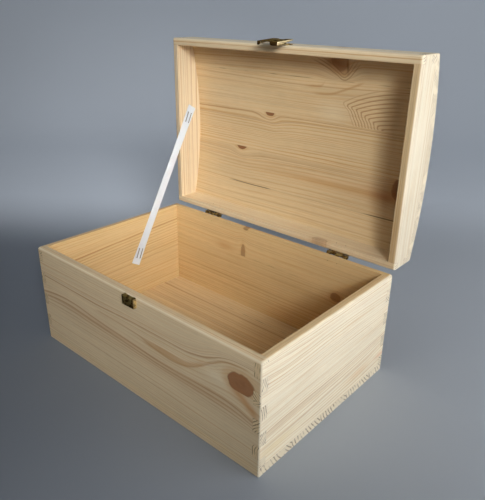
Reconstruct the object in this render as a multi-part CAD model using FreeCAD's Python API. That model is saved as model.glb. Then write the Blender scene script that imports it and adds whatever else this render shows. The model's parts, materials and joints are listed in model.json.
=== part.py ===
import FreeCAD, Part

import math
import os

# An openable pine chest with finger-jointed corners and an arched lid, standing open.
# Millimetres. X runs along the length, Y from front to back, Z up.
# The origin is the centre of the underside. Every lid piece is drawn with the lid shut
# and turned up about the hinge pins as it is written.

V = FreeCAD.Vector

# The chest's body
LENGTH = 300.0
DEPTH = 193.0
BASE_HEIGHT = 108.0
WALL = 7.5
BOTTOM_THICKNESS = 9.0

# The lid
LID_GAP = 0.4
LID_SIDE_HEIGHT = 32.0
ARCH_RISE = 12.0
PANEL_THICKNESS = 9.75
OPEN_ANGLE = 90.0

# Rounded edges
CORNER_EASE = 1.5
RIM_ROUND = 2.8
FOOT_EASE = 0.8
SHOULDER_ROUND = 2.0

# Finger joints, counted from each rim
FINGER_PITCH = 12.5
BASE_FIRST_FINGER = 2.5
LID_FIRST_FINGER = 4.5

# Hinges on the back
HINGE_WIDTH = 24.0
HINGE_CENTRE_X = 87.3
HINGE_LEAF_HEIGHT = 10.0
HINGE_LEAF_THICKNESS = 0.8
HINGE_PIN_OFFSET = 1.8
HINGE_PIN_RADIUS = 0.75
HINGE_PIN_CLEARANCE = 0.05
HINGE_BARREL_WALL = 0.8
HINGE_KNUCKLES = 5
KNUCKLE_GAP = 0.3

# Nails
NAIL_RADIUS = 0.6
NAIL_HEAD_RADIUS = 1.3
NAIL_HEAD_HEIGHT = 0.5
NAIL_POINT = 1.6
HINGE_NAIL_LENGTH = 9.0
HINGE_NAIL_SPACING = 11.0
HINGE_NAIL_INSET = 5.0
CATCH_NAIL_LENGTH = 7.0

# Keeper on the base's front
CATCH_CENTRE_X = 2.0
KEEPER_WIDTH = 15.6
KEEPER_HEIGHT = 9.0
KEEPER_DEPTH = 3.6
KEEPER_SHEET = 0.6
KEEPER_RIM_INSET = 1.0
KEEPER_EAR_WIDTH = 3.4
KEEPER_EAR_RISE = 0.7
KEEPER_PRONG_WIDTH = 1.4
KEEPER_PRONG_LENGTH = 4.5

# Catch plate on the lid's front
CATCH_PLATE_WIDTH = 15.0
CATCH_PLATE_HEIGHT = 10.0
CATCH_PLATE_THICKNESS = 0.8
CATCH_PLATE_RIM_INSET = 3.0
CATCH_NAIL_SPACING = 9.0
CATCH_NAIL_INSET = 2.6

# Hasp, a pressed cap that swings on the catch plate
HASP_WIDTH = 24.5
HASP_REACH = 23.1
HASP_SHEET = 0.5
HASP_TOP_AT_PIVOT = 5.5
HASP_TOP_AT_TIP = 4.0
HASP_TAIL = 1.2
HASP_FACE_GAP = 0.4
HASP_FLANGE_AT_TAIL = 1.1
HASP_FOOT_WIDTH = 4.0
CATCH_PIVOT_HEIGHT = 3.6
CATCH_PIVOT_RISE = 5.2
CATCH_PIN_RADIUS = 0.55
CATCH_PIN_CLEARANCE = 0.05
CATCH_BARREL_WALL = 0.6
CATCH_PLATE_KNUCKLE = 8.0
CATCH_HASP_KNUCKLE = 3.2
CATCH_KNUCKLE_GAP = 0.2
CATCH_WEB = 1.2

# Ribbon stay on the left end, taut when the lid stands open
RIBBON_WIDTH = 10.0
RIBBON_THICKNESS = 0.4
RIBBON_WALL_GAP = 0.1
RIBBON_BASE_Y = 19.8
RIBBON_BASE_DROP = 57.5
RIBBON_LID_Y = -19.0
RIBBON_LID_RISE = 20.9

# Staples that hold the ribbon's ends
STAPLE_CROWN = 12.5
STAPLE_WIRE_WIDTH = 1.1
STAPLE_WIRE_THICKNESS = 0.6
STAPLE_LEG_LENGTH = 6.0
STAPLE_INSET = 14.0
STAPLE_SPACING = 5.0
STAPLE_RIBBON_GAP = 0.05
STAPLE_HOLE_CLEARANCE = 0.1
STAPLE_TURN_BASE = 5.0
STAPLE_TURN_LID = -9.0

# Places that follow from the sizes above
END_X = LENGTH / 2
BACK_Y = DEPTH / 2
FRONT_Y = -BACK_Y
LID_RIM_Z = BASE_HEIGHT + LID_GAP
LID_SHOULDER_Z = LID_RIM_Z + LID_SIDE_HEIGHT
LID_APEX_Z = LID_SHOULDER_Z + ARCH_RISE
ARCH_RADIUS = (BACK_Y ** 2 + ARCH_RISE ** 2) / (2 * ARCH_RISE)
ARCH_CENTRE_Z = LID_APEX_Z - ARCH_RADIUS
CEILING_RADIUS = ARCH_RADIUS - PANEL_THICKNESS
PIN_Y = BACK_Y + HINGE_PIN_OFFSET
PIN_Z = BASE_HEIGHT + LID_GAP / 2
HINGE_BORE_RADIUS = HINGE_PIN_RADIUS + HINGE_PIN_CLEARANCE
HINGE_BARREL_RADIUS = HINGE_BORE_RADIUS + HINGE_BARREL_WALL
CATCH_PIVOT_Z = LID_RIM_Z + CATCH_PIVOT_RISE
CATCH_PIVOT_Y = FRONT_Y - CATCH_PIVOT_HEIGHT
CATCH_BORE_RADIUS = CATCH_PIN_RADIUS + CATCH_PIN_CLEARANCE
CATCH_BARREL_RADIUS = CATCH_BORE_RADIUS + CATCH_BARREL_WALL
SPARE = 1.0


# ---------------------------------------------------------------- drawing helpers

def box(x_range, y_range, z_range):
    """A box between two values on each axis, given in either order."""
    lows = [min(pair) for pair in (x_range, y_range, z_range)]
    sizes = [abs(pair[1] - pair[0]) for pair in (x_range, y_range, z_range)]
    return Part.makeBox(sizes[0], sizes[1], sizes[2], V(*lows))


def rod(radius, start, end):
    """A round bar from start to end."""
    run = end - start
    return Part.makeCylinder(radius, run.Length, start, run)


def prism(outline, x_range):
    """A closed outline of (y, z) points, drawn out along X."""
    low = min(x_range)
    points = [V(low, y, z) for y, z in outline]
    face = Part.Face(Part.makePolygon(points + points[:1]))
    return face.extrude(V(abs(x_range[1] - x_range[0]), 0, 0))


def joined(shapes):
    """One solid out of pieces that share volume."""
    result = shapes[0]
    for shape in shapes[1:]:
        result = result.fuse(shape)
    return result.removeSplitter()


def drilled(shape, tools):
    """The shape with each tool's room cut out of it."""
    for tool in tools:
        shape = shape.cut(tool)
    return shape


def rounded(shape, radius, picks):
    """The shape with the edges that picks() accepts rounded."""
    return shape.makeFillet(radius, [edge for edge in shape.Edges if picks(edge)])


def runs_up(edge):
    """Whether an edge stands upright."""
    first, last = edge.Vertexes[0].Point, edge.Vertexes[-1].Point
    return abs(first.x - last.x) + abs(first.y - last.y) < 1e-6


def runs_along(edge):
    """Whether an edge is straight and lies along the chest's length."""
    first, last = edge.Vertexes[0].Point, edge.Vertexes[-1].Point
    return abs(first.y - last.y) + abs(first.z - last.z) < 1e-6


def lies_at(height):
    """A test for edges that lie wholly at one height."""
    return lambda edge: all(abs(corner.Z - height) < 1e-6 for corner in edge.Vertexes)


def opened(shape):
    """A lid piece, drawn shut, turned up about the hinge pins."""
    turned = shape.copy()
    turned.rotate(V(0, PIN_Y, PIN_Z), V(1, 0, 0), -OPEN_ANGLE)
    return turned


def opened_point(point):
    """A point on the shut lid, turned up about the hinge pins."""
    turn = FreeCAD.Rotation(V(1, 0, 0), -OPEN_ANGLE)
    pin = V(0, PIN_Y, PIN_Z)
    return pin + turn.multVec(point - pin)


# ---------------------------------------------------------------- finger joints

def finger_bands(start, first, stop):
    """Bands of height from a rim towards stop: a first short one, then full ones."""
    step = math.copysign(FINGER_PITCH, stop - start)
    edges = [start, start + math.copysign(first, step)]
    while (stop - edges[-1]) / step > 1:
        edges.append(edges[-1] + step)
    edges.append(stop)
    return list(zip(edges, edges[1:]))


def corner_blocks(bands, sides):
    """The corner posts' blocks over the given bands, one set for each corner."""
    blocks = []
    for x_side in (-1, 1):
        for y_side in (-1, 1):
            x_range = (x_side * (END_X - WALL), x_side * (END_X + SPARE))
            y_range = (y_side * (BACK_Y - WALL), y_side * (BACK_Y + SPARE))
            blocks += [box(x_range, y_range, band) for band in bands[sides::2]]
    return blocks


# ---------------------------------------------------------------- base

def base_form():
    """The base's outer form, with its corners, rim and foot eased."""
    form = box((-END_X, END_X), (FRONT_Y, BACK_Y), (0, BASE_HEIGHT))
    form = rounded(form, CORNER_EASE, runs_up)
    form = rounded(form, RIM_ROUND, lies_at(BASE_HEIGHT))
    return rounded(form, FOOT_EASE, lies_at(0))


def base_bands():
    return finger_bands(BASE_HEIGHT, BASE_FIRST_FINGER, BOTTOM_THICKNESS)


def base_long_board(side):
    """The base's front (-1) or back (1) board, which owns the bands at the rim and foot."""
    y_range = (side * (BACK_Y - WALL), side * BACK_Y)
    board = box((-END_X, END_X), y_range, (BOTTOM_THICKNESS, BASE_HEIGHT))
    return drilled(board, corner_blocks(base_bands(), 1)).common(base_form())


def base_end_board(side):
    """The base's left (-1) or right (1) board, which fills the bands between."""
    x_range = (side * (END_X - WALL), side * END_X)
    board = box(x_range, (FRONT_Y, BACK_Y), (BOTTOM_THICKNESS, BASE_HEIGHT))
    return drilled(board, corner_blocks(base_bands(), 0)).common(base_form())


def base_bottom_panel():
    """The bottom board, glued under the walls and flush with them."""
    panel = box((-END_X, END_X), (FRONT_Y, BACK_Y), (0, BOTTOM_THICKNESS))
    return panel.common(base_form())


# ---------------------------------------------------------------- lid, drawn shut

def ceiling_cylinder():
    """The round that the underside of the arched panel follows."""
    start = V(-END_X - SPARE, 0, ARCH_CENTRE_Z)
    return rod(CEILING_RADIUS, start, V(END_X + SPARE, 0, ARCH_CENTRE_Z))


def lid_form():
    """The lid's outer form: straight sides under a shallow arch, with eased edges."""
    corners = [V(-END_X, FRONT_Y, LID_SHOULDER_Z), V(-END_X, FRONT_Y, LID_RIM_Z),
               V(-END_X, BACK_Y, LID_RIM_Z), V(-END_X, BACK_Y, LID_SHOULDER_Z)]
    arch = Part.Arc(corners[3], V(-END_X, 0, LID_APEX_Z), corners[0]).toShape()
    wire = Part.Wire(Part.makePolygon(corners).Edges + [arch])
    form = Part.Face(wire).extrude(V(LENGTH, 0, 0))

    def is_shoulder(edge):
        return runs_along(edge) and lies_at(LID_SHOULDER_Z)(edge)

    def is_end_outline(edge):
        on_end = abs(abs(edge.CenterOfMass.x) - END_X) < 1e-6
        return on_end and not lies_at(LID_RIM_Z)(edge)

    form = rounded(form, SHOULDER_ROUND, is_shoulder)
    form = rounded(form, CORNER_EASE, is_end_outline)
    return rounded(form, RIM_ROUND, lies_at(LID_RIM_Z))


def lid_bands():
    return finger_bands(LID_RIM_Z, LID_FIRST_FINGER, LID_SHOULDER_Z)


def lid_long_board(side):
    """The lid's front (-1) or back (1) board, up to the arched panel."""
    y_range = (side * (BACK_Y - WALL), side * BACK_Y)
    board = box((-END_X, END_X), y_range, (LID_RIM_Z, LID_SHOULDER_Z))
    board = drilled(board, corner_blocks(lid_bands(), 1))
    return board.common(lid_form()).common(ceiling_cylinder())


def lid_end_board(side):
    """The lid's left (-1) or right (1) end, curved on top to carry the panel."""
    x_range = (side * (END_X - WALL), side * END_X)
    board = box(x_range, (FRONT_Y, BACK_Y), (LID_RIM_Z, LID_APEX_Z))
    board = drilled(board, corner_blocks(lid_bands(), 0))
    return board.common(lid_form()).common(ceiling_cylinder())


def lid_top_panel():
    """The arched panel, laid over all four lid boards."""
    return lid_form().cut(ceiling_cylinder())


# ---------------------------------------------------------------- nails

def nail(tip_direction, face_point, length):
    """A nail whose head stands on face_point: shank, point and domed head."""
    shank_end = face_point + tip_direction * (length - NAIL_POINT)
    shank = rod(NAIL_RADIUS, face_point, shank_end)
    point = Part.makeCone(NAIL_RADIUS, NAIL_RADIUS / 6, NAIL_POINT, shank_end, tip_direction)
    crown = -NAIL_HEAD_HEIGHT
    dome_radius = (NAIL_HEAD_RADIUS ** 2 + crown ** 2) / (2 * NAIL_HEAD_HEIGHT)
    dome_centre = face_point + tip_direction * (dome_radius - NAIL_HEAD_HEIGHT)
    ball = Part.makeSphere(dome_radius, dome_centre)
    disc = rod(NAIL_HEAD_RADIUS, face_point, face_point + tip_direction * crown)
    return joined([shank, point, ball.common(disc)])


def hinge_nails(z):
    """Both hinges' nails along one height, driven into the back."""
    face_y = BACK_Y + HINGE_LEAF_THICKNESS
    spread = HINGE_NAIL_SPACING / 2
    places = [side * HINGE_CENTRE_X + step for side in (-1, 1) for step in (-spread, spread)]
    return [nail(V(0, -1, 0), V(x, face_y, z), HINGE_NAIL_LENGTH) for x in places]


def base_hinge_nails():
    return hinge_nails(BASE_HEIGHT - HINGE_NAIL_INSET)


def lid_hinge_nails():
    return hinge_nails(LID_RIM_Z + HINGE_NAIL_INSET)


def catch_nails():
    """The two nails of the catch plate, driven into the lid's front."""
    z = LID_RIM_Z + CATCH_PLATE_RIM_INSET + CATCH_PLATE_HEIGHT - CATCH_NAIL_INSET
    face_y = FRONT_Y - CATCH_PLATE_THICKNESS
    spread = CATCH_NAIL_SPACING / 2
    places = [CATCH_CENTRE_X - spread, CATCH_CENTRE_X + spread]
    return [nail(V(0, 1, 0), V(x, face_y, z), CATCH_NAIL_LENGTH) for x in places]


# ---------------------------------------------------------------- hinges

def knuckle_spans(centre_x, first):
    """Every second knuckle's span along X, from the given one on."""
    width = (HINGE_WIDTH - (HINGE_KNUCKLES - 1) * KNUCKLE_GAP) / HINGE_KNUCKLES
    spans = []
    for number in range(first, HINGE_KNUCKLES, 2):
        start = centre_x - HINGE_WIDTH / 2 + number * (width + KNUCKLE_GAP)
        spans.append((start, start + width))
    return spans


def hinge_leaf(centre_x, side, first, nails):
    """A leaf below (-1) or above (1) the pin: a plate, tongues and rolled knuckles."""
    y_range = (BACK_Y, BACK_Y + HINGE_LEAF_THICKNESS)
    x_range = (centre_x - HINGE_WIDTH / 2, centre_x + HINGE_WIDTH / 2)
    near_pin = PIN_Z + side * (HINGE_BARREL_RADIUS + KNUCKLE_GAP)
    far_edge = PIN_Z + side * HINGE_LEAF_HEIGHT
    parts = [box(x_range, y_range, (near_pin, far_edge))]
    for span in knuckle_spans(centre_x, first):
        parts.append(box(span, y_range, (PIN_Z, far_edge)))
        parts.append(rod(HINGE_BARREL_RADIUS, V(span[0], PIN_Y, PIN_Z), V(span[1], PIN_Y, PIN_Z)))
    bore = rod(HINGE_BORE_RADIUS, V(x_range[0] - SPARE, PIN_Y, PIN_Z),
               V(x_range[1] + SPARE, PIN_Y, PIN_Z))
    return drilled(joined(parts), [bore] + nails)


def hinge_pin(centre_x):
    """A plain pin, as long as the hinge is wide."""
    start = V(centre_x - HINGE_WIDTH / 2, PIN_Y, PIN_Z)
    return rod(HINGE_PIN_RADIUS, start, start + V(HINGE_WIDTH, 0, 0))


# ---------------------------------------------------------------- keeper

def keeper_prongs():
    """The two prongs that run into the base's front board."""
    top = BASE_HEIGHT - KEEPER_RIM_INSET
    middle = top - KEEPER_HEIGHT / 2
    z_range = (middle - KEEPER_PRONG_WIDTH / 2, middle + KEEPER_PRONG_WIDTH / 2)
    prongs = []
    for side in (-1, 1):
        outer = CATCH_CENTRE_X + side * KEEPER_WIDTH / 2
        x_range = (outer - side * KEEPER_SHEET, outer)
        prongs.append(box(x_range, (FRONT_Y - SPARE, FRONT_Y + KEEPER_PRONG_LENGTH), z_range))
    return prongs


def catch_keeper():
    """A channel pressed from sheet: a front, two sides and an ear behind each side."""
    top = BASE_HEIGHT - KEEPER_RIM_INSET
    bottom = top - KEEPER_HEIGHT
    front_y = FRONT_Y - KEEPER_DEPTH
    half = KEEPER_WIDTH / 2
    x_range = (CATCH_CENTRE_X - half, CATCH_CENTRE_X + half)
    front = box(x_range, (front_y, front_y + KEEPER_SHEET), (bottom, top))
    parts = [front]
    for side in (-1, 1):
        outer = CATCH_CENTRE_X + side * half
        side_x = (outer - side * KEEPER_SHEET, outer)
        ear_x = (outer - side * KEEPER_EAR_WIDTH, outer)
        parts.append(box(side_x, (front_y, FRONT_Y), (bottom, top)))
        parts.append(box(ear_x, (FRONT_Y - KEEPER_SHEET, FRONT_Y), (bottom, top + KEEPER_EAR_RISE)))
    body = joined(parts)

    def is_front_corner(edge):
        return runs_up(edge) and abs(edge.CenterOfMass.y - front_y) < 1e-6

    return joined([rounded(body, KEEPER_SHEET, is_front_corner)] + keeper_prongs())


# ---------------------------------------------------------------- catch on the lid

def catch_pin_span():
    """The pin's span: the plate's knuckle, a gap and a hasp knuckle on each side."""
    half = CATCH_PLATE_KNUCKLE / 2 + CATCH_KNUCKLE_GAP + CATCH_HASP_KNUCKLE
    return CATCH_CENTRE_X - half, CATCH_CENTRE_X + half


def catch_rod(radius, x_range):
    """A round bar on the catch's pivot."""
    start = V(x_range[0], CATCH_PIVOT_Y, CATCH_PIVOT_Z)
    return rod(radius, start, V(x_range[1], CATCH_PIVOT_Y, CATCH_PIVOT_Z))


def catch_bore():
    low, high = catch_pin_span()
    return catch_rod(CATCH_BORE_RADIUS, (low - SPARE, high + SPARE))


def catch_plate():
    """The plate nailed to the lid, with a web that rises to its knuckle."""
    low_z = LID_RIM_Z + CATCH_PLATE_RIM_INSET
    half = CATCH_PLATE_WIDTH / 2
    face_y = FRONT_Y - CATCH_PLATE_THICKNESS
    x_range = (CATCH_CENTRE_X - half, CATCH_CENTRE_X + half)
    plate = box(x_range, (face_y, FRONT_Y), (low_z, low_z + CATCH_PLATE_HEIGHT))

    def is_corner(edge):
        return abs(edge.Vertexes[0].Y - edge.Vertexes[-1].Y) > CATCH_PLATE_THICKNESS / 2

    plate = rounded(plate, CATCH_WEB, is_corner)
    half_knuckle = CATCH_PLATE_KNUCKLE / 2
    span = (CATCH_CENTRE_X - half_knuckle, CATCH_CENTRE_X + half_knuckle)
    web_z = (CATCH_PIVOT_Z - CATCH_WEB / 2, CATCH_PIVOT_Z + CATCH_WEB / 2)
    web = box(span, (FRONT_Y, CATCH_PIVOT_Y), web_z)
    return drilled(joined([plate, web, catch_rod(CATCH_BARREL_RADIUS, span)]),
                   [catch_bore()] + catch_nails())


def hasp_top(distance):
    """The cap's height off the lid's face, at a distance from the pivot to the tip."""
    fall = (HASP_TOP_AT_PIVOT - HASP_TOP_AT_TIP) / HASP_REACH
    return HASP_TOP_AT_PIVOT - fall * distance


def hasp_strip(x_range, low_at_tail, low_at_tip, start, end):
    """A strip of the cap between two distances, from its top down to a sloping edge."""
    share = [(distance + HASP_TAIL) / (HASP_REACH + HASP_TAIL) for distance in (start, end)]
    lows = [low_at_tail + (low_at_tip - low_at_tail) * part for part in share]
    heights = [(hasp_top(start), start), (hasp_top(end), end), (lows[1], end), (lows[0], start)]
    return prism([(FRONT_Y - height, CATCH_PIVOT_Z - distance) for height, distance in heights],
                 x_range)


def catch_hasp():
    """The cap: a sloping top, two flanges, two feet at the tip and two knuckles."""
    half = HASP_WIDTH / 2
    left, right = CATCH_CENTRE_X - half, CATCH_CENTRE_X + half
    tail_under = hasp_top(-HASP_TAIL) - HASP_SHEET
    tip_under = hasp_top(HASP_REACH) - HASP_SHEET
    tail_edge = hasp_top(-HASP_TAIL) - HASP_FLANGE_AT_TAIL
    top = hasp_strip((left, right), tail_under, tip_under, -HASP_TAIL, HASP_REACH)

    # The top is open over the plate's knuckle, so that the knuckle's web has room.
    half_slot = CATCH_PLATE_KNUCKLE / 2 + CATCH_KNUCKLE_GAP
    slot_x = (CATCH_CENTRE_X - half_slot, CATCH_CENTRE_X + half_slot)
    slot_end = CATCH_PIVOT_HEIGHT - CATCH_PLATE_THICKNESS
    slot = box(slot_x, (FRONT_Y, FRONT_Y - HASP_TOP_AT_PIVOT - SPARE),
               (CATCH_PIVOT_Z - slot_end, CATCH_PIVOT_Z + HASP_TAIL + SPARE))
    parts = [top.cut(slot)]
    for side, outer in ((-1, left), (1, right)):
        flange_x = (outer - side * HASP_SHEET, outer)
        foot_x = (outer - side * HASP_FOOT_WIDTH, outer)
        parts.append(hasp_strip(flange_x, tail_edge, HASP_FACE_GAP, -HASP_TAIL, HASP_REACH))
        parts.append(hasp_strip(foot_x, tail_edge, HASP_FACE_GAP, HASP_REACH - HASP_SHEET,
                                HASP_REACH))
        inner = CATCH_CENTRE_X + side * half_slot
        knuckle_x = (inner, inner + side * CATCH_HASP_KNUCKLE)
        post_y = (CATCH_PIVOT_Y, FRONT_Y - HASP_TOP_AT_PIVOT + HASP_SHEET / 2)
        post_z = (CATCH_PIVOT_Z - CATCH_BARREL_RADIUS, CATCH_PIVOT_Z + CATCH_BARREL_RADIUS)
        parts.append(catch_rod(CATCH_BARREL_RADIUS, knuckle_x))
        parts.append(box(knuckle_x, post_y, post_z).cut(box(knuckle_x, post_y, (
            CATCH_PIVOT_Z + HASP_TAIL, CATCH_PIVOT_Z + HASP_TAIL + SPARE))))
    return drilled(joined(parts), [catch_bore()])


def catch_pin():
    low, high = catch_pin_span()
    return catch_rod(CATCH_PIN_RADIUS, (low, high))


# ---------------------------------------------------------------- ribbon stay

def ribbon_ends():
    """The ribbon's two ends on its centre line, with the lid standing open."""
    x = -END_X + WALL + RIBBON_WALL_GAP
    base_end = V(x, RIBBON_BASE_Y, BASE_HEIGHT - RIBBON_BASE_DROP)
    lid_end = opened_point(V(x, RIBBON_LID_Y, LID_RIM_Z + RIBBON_LID_RISE))
    return base_end, lid_end


def ribbon_frame():
    """Unit vectors along the ribbon, across it and out of the wall."""
    base_end, lid_end = ribbon_ends()
    along = (lid_end - base_end).normalize()
    return along, V(1, 0, 0).cross(along), V(1, 0, 0)


def slab(corner, along, across, length, width, thickness):
    """A slab that lies against the left wall, from one corner."""
    sides = [corner, corner + along * length, corner + along * length + across * width,
             corner + across * width]
    face = Part.Face(Part.makePolygon(sides + sides[:1]))
    return face.extrude(V(thickness, 0, 0))


def staple_pair(end, inward, turn, clearance=0.0):
    """Two staples side by side over the ribbon, each a crown with two legs."""
    along = FreeCAD.Rotation(V(1, 0, 0), turn).multVec(inward)
    across = V(1, 0, 0).cross(along)
    wire = STAPLE_WIRE_WIDTH + 2 * clearance
    crown_x = V(RIBBON_THICKNESS + STAPLE_RIBBON_GAP, 0, 0)
    middle = end + inward * STAPLE_INSET + crown_x
    staples = []
    for side in (-1, 1):
        centre = middle + across * (side * STAPLE_SPACING / 2)
        corner = centre - along * (STAPLE_CROWN / 2 + clearance) - across * (wire / 2)
        parts = [slab(corner, along, across, STAPLE_CROWN + 2 * clearance, wire,
                      STAPLE_WIRE_THICKNESS)]
        leg = STAPLE_WIRE_THICKNESS + 2 * clearance
        for start in (0, STAPLE_CROWN + 2 * clearance - leg):
            foot = corner + along * start
            parts.append(slab(foot, along, across, leg, wire, STAPLE_WIRE_THICKNESS))
            parts.append(slab(foot - V(STAPLE_LEG_LENGTH, 0, 0), along, across, leg, wire,
                              STAPLE_LEG_LENGTH))
        staples.append(joined(parts))
    return staples


def base_staples(clearance=0.0):
    base_end, lid_end = ribbon_ends()
    return staple_pair(base_end, (lid_end - base_end).normalize(), STAPLE_TURN_BASE, clearance)


def lid_staples(clearance=0.0):
    """The lid's staples where they are with the lid open."""
    base_end, lid_end = ribbon_ends()
    return staple_pair(lid_end, (base_end - lid_end).normalize(), STAPLE_TURN_LID, clearance)


def ribbon_stay():
    """The ribbon, straight between its ends, pierced by the staples' legs."""
    base_end, lid_end = ribbon_ends()
    along, across, _ = ribbon_frame()
    ribbon = slab(base_end - across * (RIBBON_WIDTH / 2), along, across,
                  (lid_end - base_end).Length, RIBBON_WIDTH, RIBBON_THICKNESS)
    staples = base_staples(STAPLE_HOLE_CLEARANCE) + lid_staples(STAPLE_HOLE_CLEARANCE)
    return drilled(ribbon, staples)


# ---------------------------------------------------------------- assembly

def sub_parts():
    """Every sub-part by name, where it stands with the lid open."""
    base_nails, lid_nails = base_hinge_nails(), lid_hinge_nails()
    parts = {
        "base_front_board": drilled(base_long_board(-1), keeper_prongs()),
        "base_back_board": drilled(base_long_board(1), base_nails),
        "base_left_board": drilled(base_end_board(-1), base_staples()),
        "base_right_board": base_end_board(1),
        "base_bottom_panel": base_bottom_panel(),
        "lid_front_board": opened(drilled(lid_long_board(-1), catch_nails())),
        "lid_back_board": opened(drilled(lid_long_board(1), lid_nails)),
        "lid_left_end": drilled(opened(lid_end_board(-1)), lid_staples()),
        "lid_right_end": opened(lid_end_board(1)),
        "lid_top_panel": opened(lid_top_panel()),
        "hinge_nails_base": Part.makeCompound(base_nails),
        "hinge_nails_lid": opened(Part.makeCompound(lid_nails)),
        "catch_keeper": catch_keeper(),
        "catch_plate": opened(catch_plate()),
        "catch_plate_nails": opened(Part.makeCompound(catch_nails())),
        "catch_hasp": opened(catch_hasp()),
        "catch_pin": opened(catch_pin()),
        "ribbon_stay": ribbon_stay(),
        "staples_base": Part.makeCompound(base_staples()),
        "staples_lid": Part.makeCompound(lid_staples()),
    }
    for name, side in (("left", -1), ("right", 1)):
        centre_x = side * HINGE_CENTRE_X
        parts["hinge_base_leaf_" + name] = hinge_leaf(centre_x, -1, 0, base_nails)
        parts["hinge_lid_leaf_" + name] = opened(hinge_leaf(centre_x, 1, 1, lid_nails))
        parts["hinge_pin_" + name] = hinge_pin(centre_x)
    return parts


def main():
    os.makedirs("parts", exist_ok=True)
    for name, shape in sub_parts().items():
        shape.exportStep("parts/" + name + ".step")
        print(name, len(shape.Solids), shape.isValid(), round(shape.Volume, 2))
    pivot = opened_point(V(CATCH_CENTRE_X, CATCH_PIVOT_Y, CATCH_PIVOT_Z))
    print("lid hinge axis", round(PIN_Y, 3), round(PIN_Z, 3))
    print("hasp axis", [round(value, 3) for value in pivot])


main()
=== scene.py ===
"""Finishes an openable pine chest: its boards, brass fittings, ribbon stay and studio."""

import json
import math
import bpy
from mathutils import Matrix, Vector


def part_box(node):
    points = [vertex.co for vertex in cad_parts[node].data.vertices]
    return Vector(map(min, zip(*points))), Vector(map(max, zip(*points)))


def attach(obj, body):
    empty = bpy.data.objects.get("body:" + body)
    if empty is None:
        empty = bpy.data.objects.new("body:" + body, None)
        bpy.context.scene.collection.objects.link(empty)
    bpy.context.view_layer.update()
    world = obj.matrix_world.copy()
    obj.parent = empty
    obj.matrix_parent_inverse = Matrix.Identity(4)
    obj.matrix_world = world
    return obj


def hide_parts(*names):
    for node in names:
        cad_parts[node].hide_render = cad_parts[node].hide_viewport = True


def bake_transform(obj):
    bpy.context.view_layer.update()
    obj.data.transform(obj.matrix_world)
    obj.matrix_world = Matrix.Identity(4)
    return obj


bl_info = {
    "name": "Pine Chest Finisher",
    "version": (1, 0, 0),
    "blender": (4, 5, 0),
    "location": "View3D > Sidebar > Pine Chest",
    "description": "Finishes the boards, catch, hinges and ribbon stay of an arched pine chest",
    "category": "Object",
}

from contextlib import contextmanager

import bmesh
import bpy
from mathutils import Matrix, Vector

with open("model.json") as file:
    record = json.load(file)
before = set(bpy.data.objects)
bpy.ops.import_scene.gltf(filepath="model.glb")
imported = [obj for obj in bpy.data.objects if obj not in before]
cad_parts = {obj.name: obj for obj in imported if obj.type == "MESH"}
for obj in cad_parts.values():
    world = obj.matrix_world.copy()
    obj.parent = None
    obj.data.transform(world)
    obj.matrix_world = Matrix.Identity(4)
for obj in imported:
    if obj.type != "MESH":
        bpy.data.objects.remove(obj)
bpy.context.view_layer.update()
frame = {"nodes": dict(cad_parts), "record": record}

MM = 0.001


# ---------------------------------------------------------------- colours and places

def linear(red, green, blue):
    """A colour given as 0 to 255 screen values, as Blender's linear values."""
    def one(value):
        value /= 255
        return value / 12.92 if value <= 0.04045 else ((value + 0.055) / 1.055) ** 2.4
    return one(red), one(green), one(blue)


def opaque(colour):
    """A colour with full opacity."""
    return (*colour[:3], 1.0)


def node_span(name):
    """A CAD node's lowest and highest corners in millimetres."""
    low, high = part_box(name)
    return Vector(low) / MM, Vector(high) / MM


# ---------------------------------------------------------------- shader bench

class Signal:
    """A shader value that adds, multiplies and compares like a number."""

    def __init__(self, bench, socket):
        self.bench, self.socket = bench, socket

    def __add__(self, other):
        return self.bench.math("ADD", self, other)

    def __sub__(self, other):
        return self.bench.math("SUBTRACT", self, other)

    def __rsub__(self, other):
        return self.bench.math("SUBTRACT", other, self)

    def __mul__(self, other):
        return self.bench.math("MULTIPLY", self, other)

    def __truediv__(self, other):
        return self.bench.math("DIVIDE", self, other)

    def __lt__(self, other):
        return self.bench.math("LESS_THAN", self, other)

    def __gt__(self, other):
        return self.bench.math("GREATER_THAN", self, other)

    def __abs__(self):
        return self.bench.math("ABSOLUTE", self)

    __radd__ = __add__
    __rmul__ = __mul__


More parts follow.
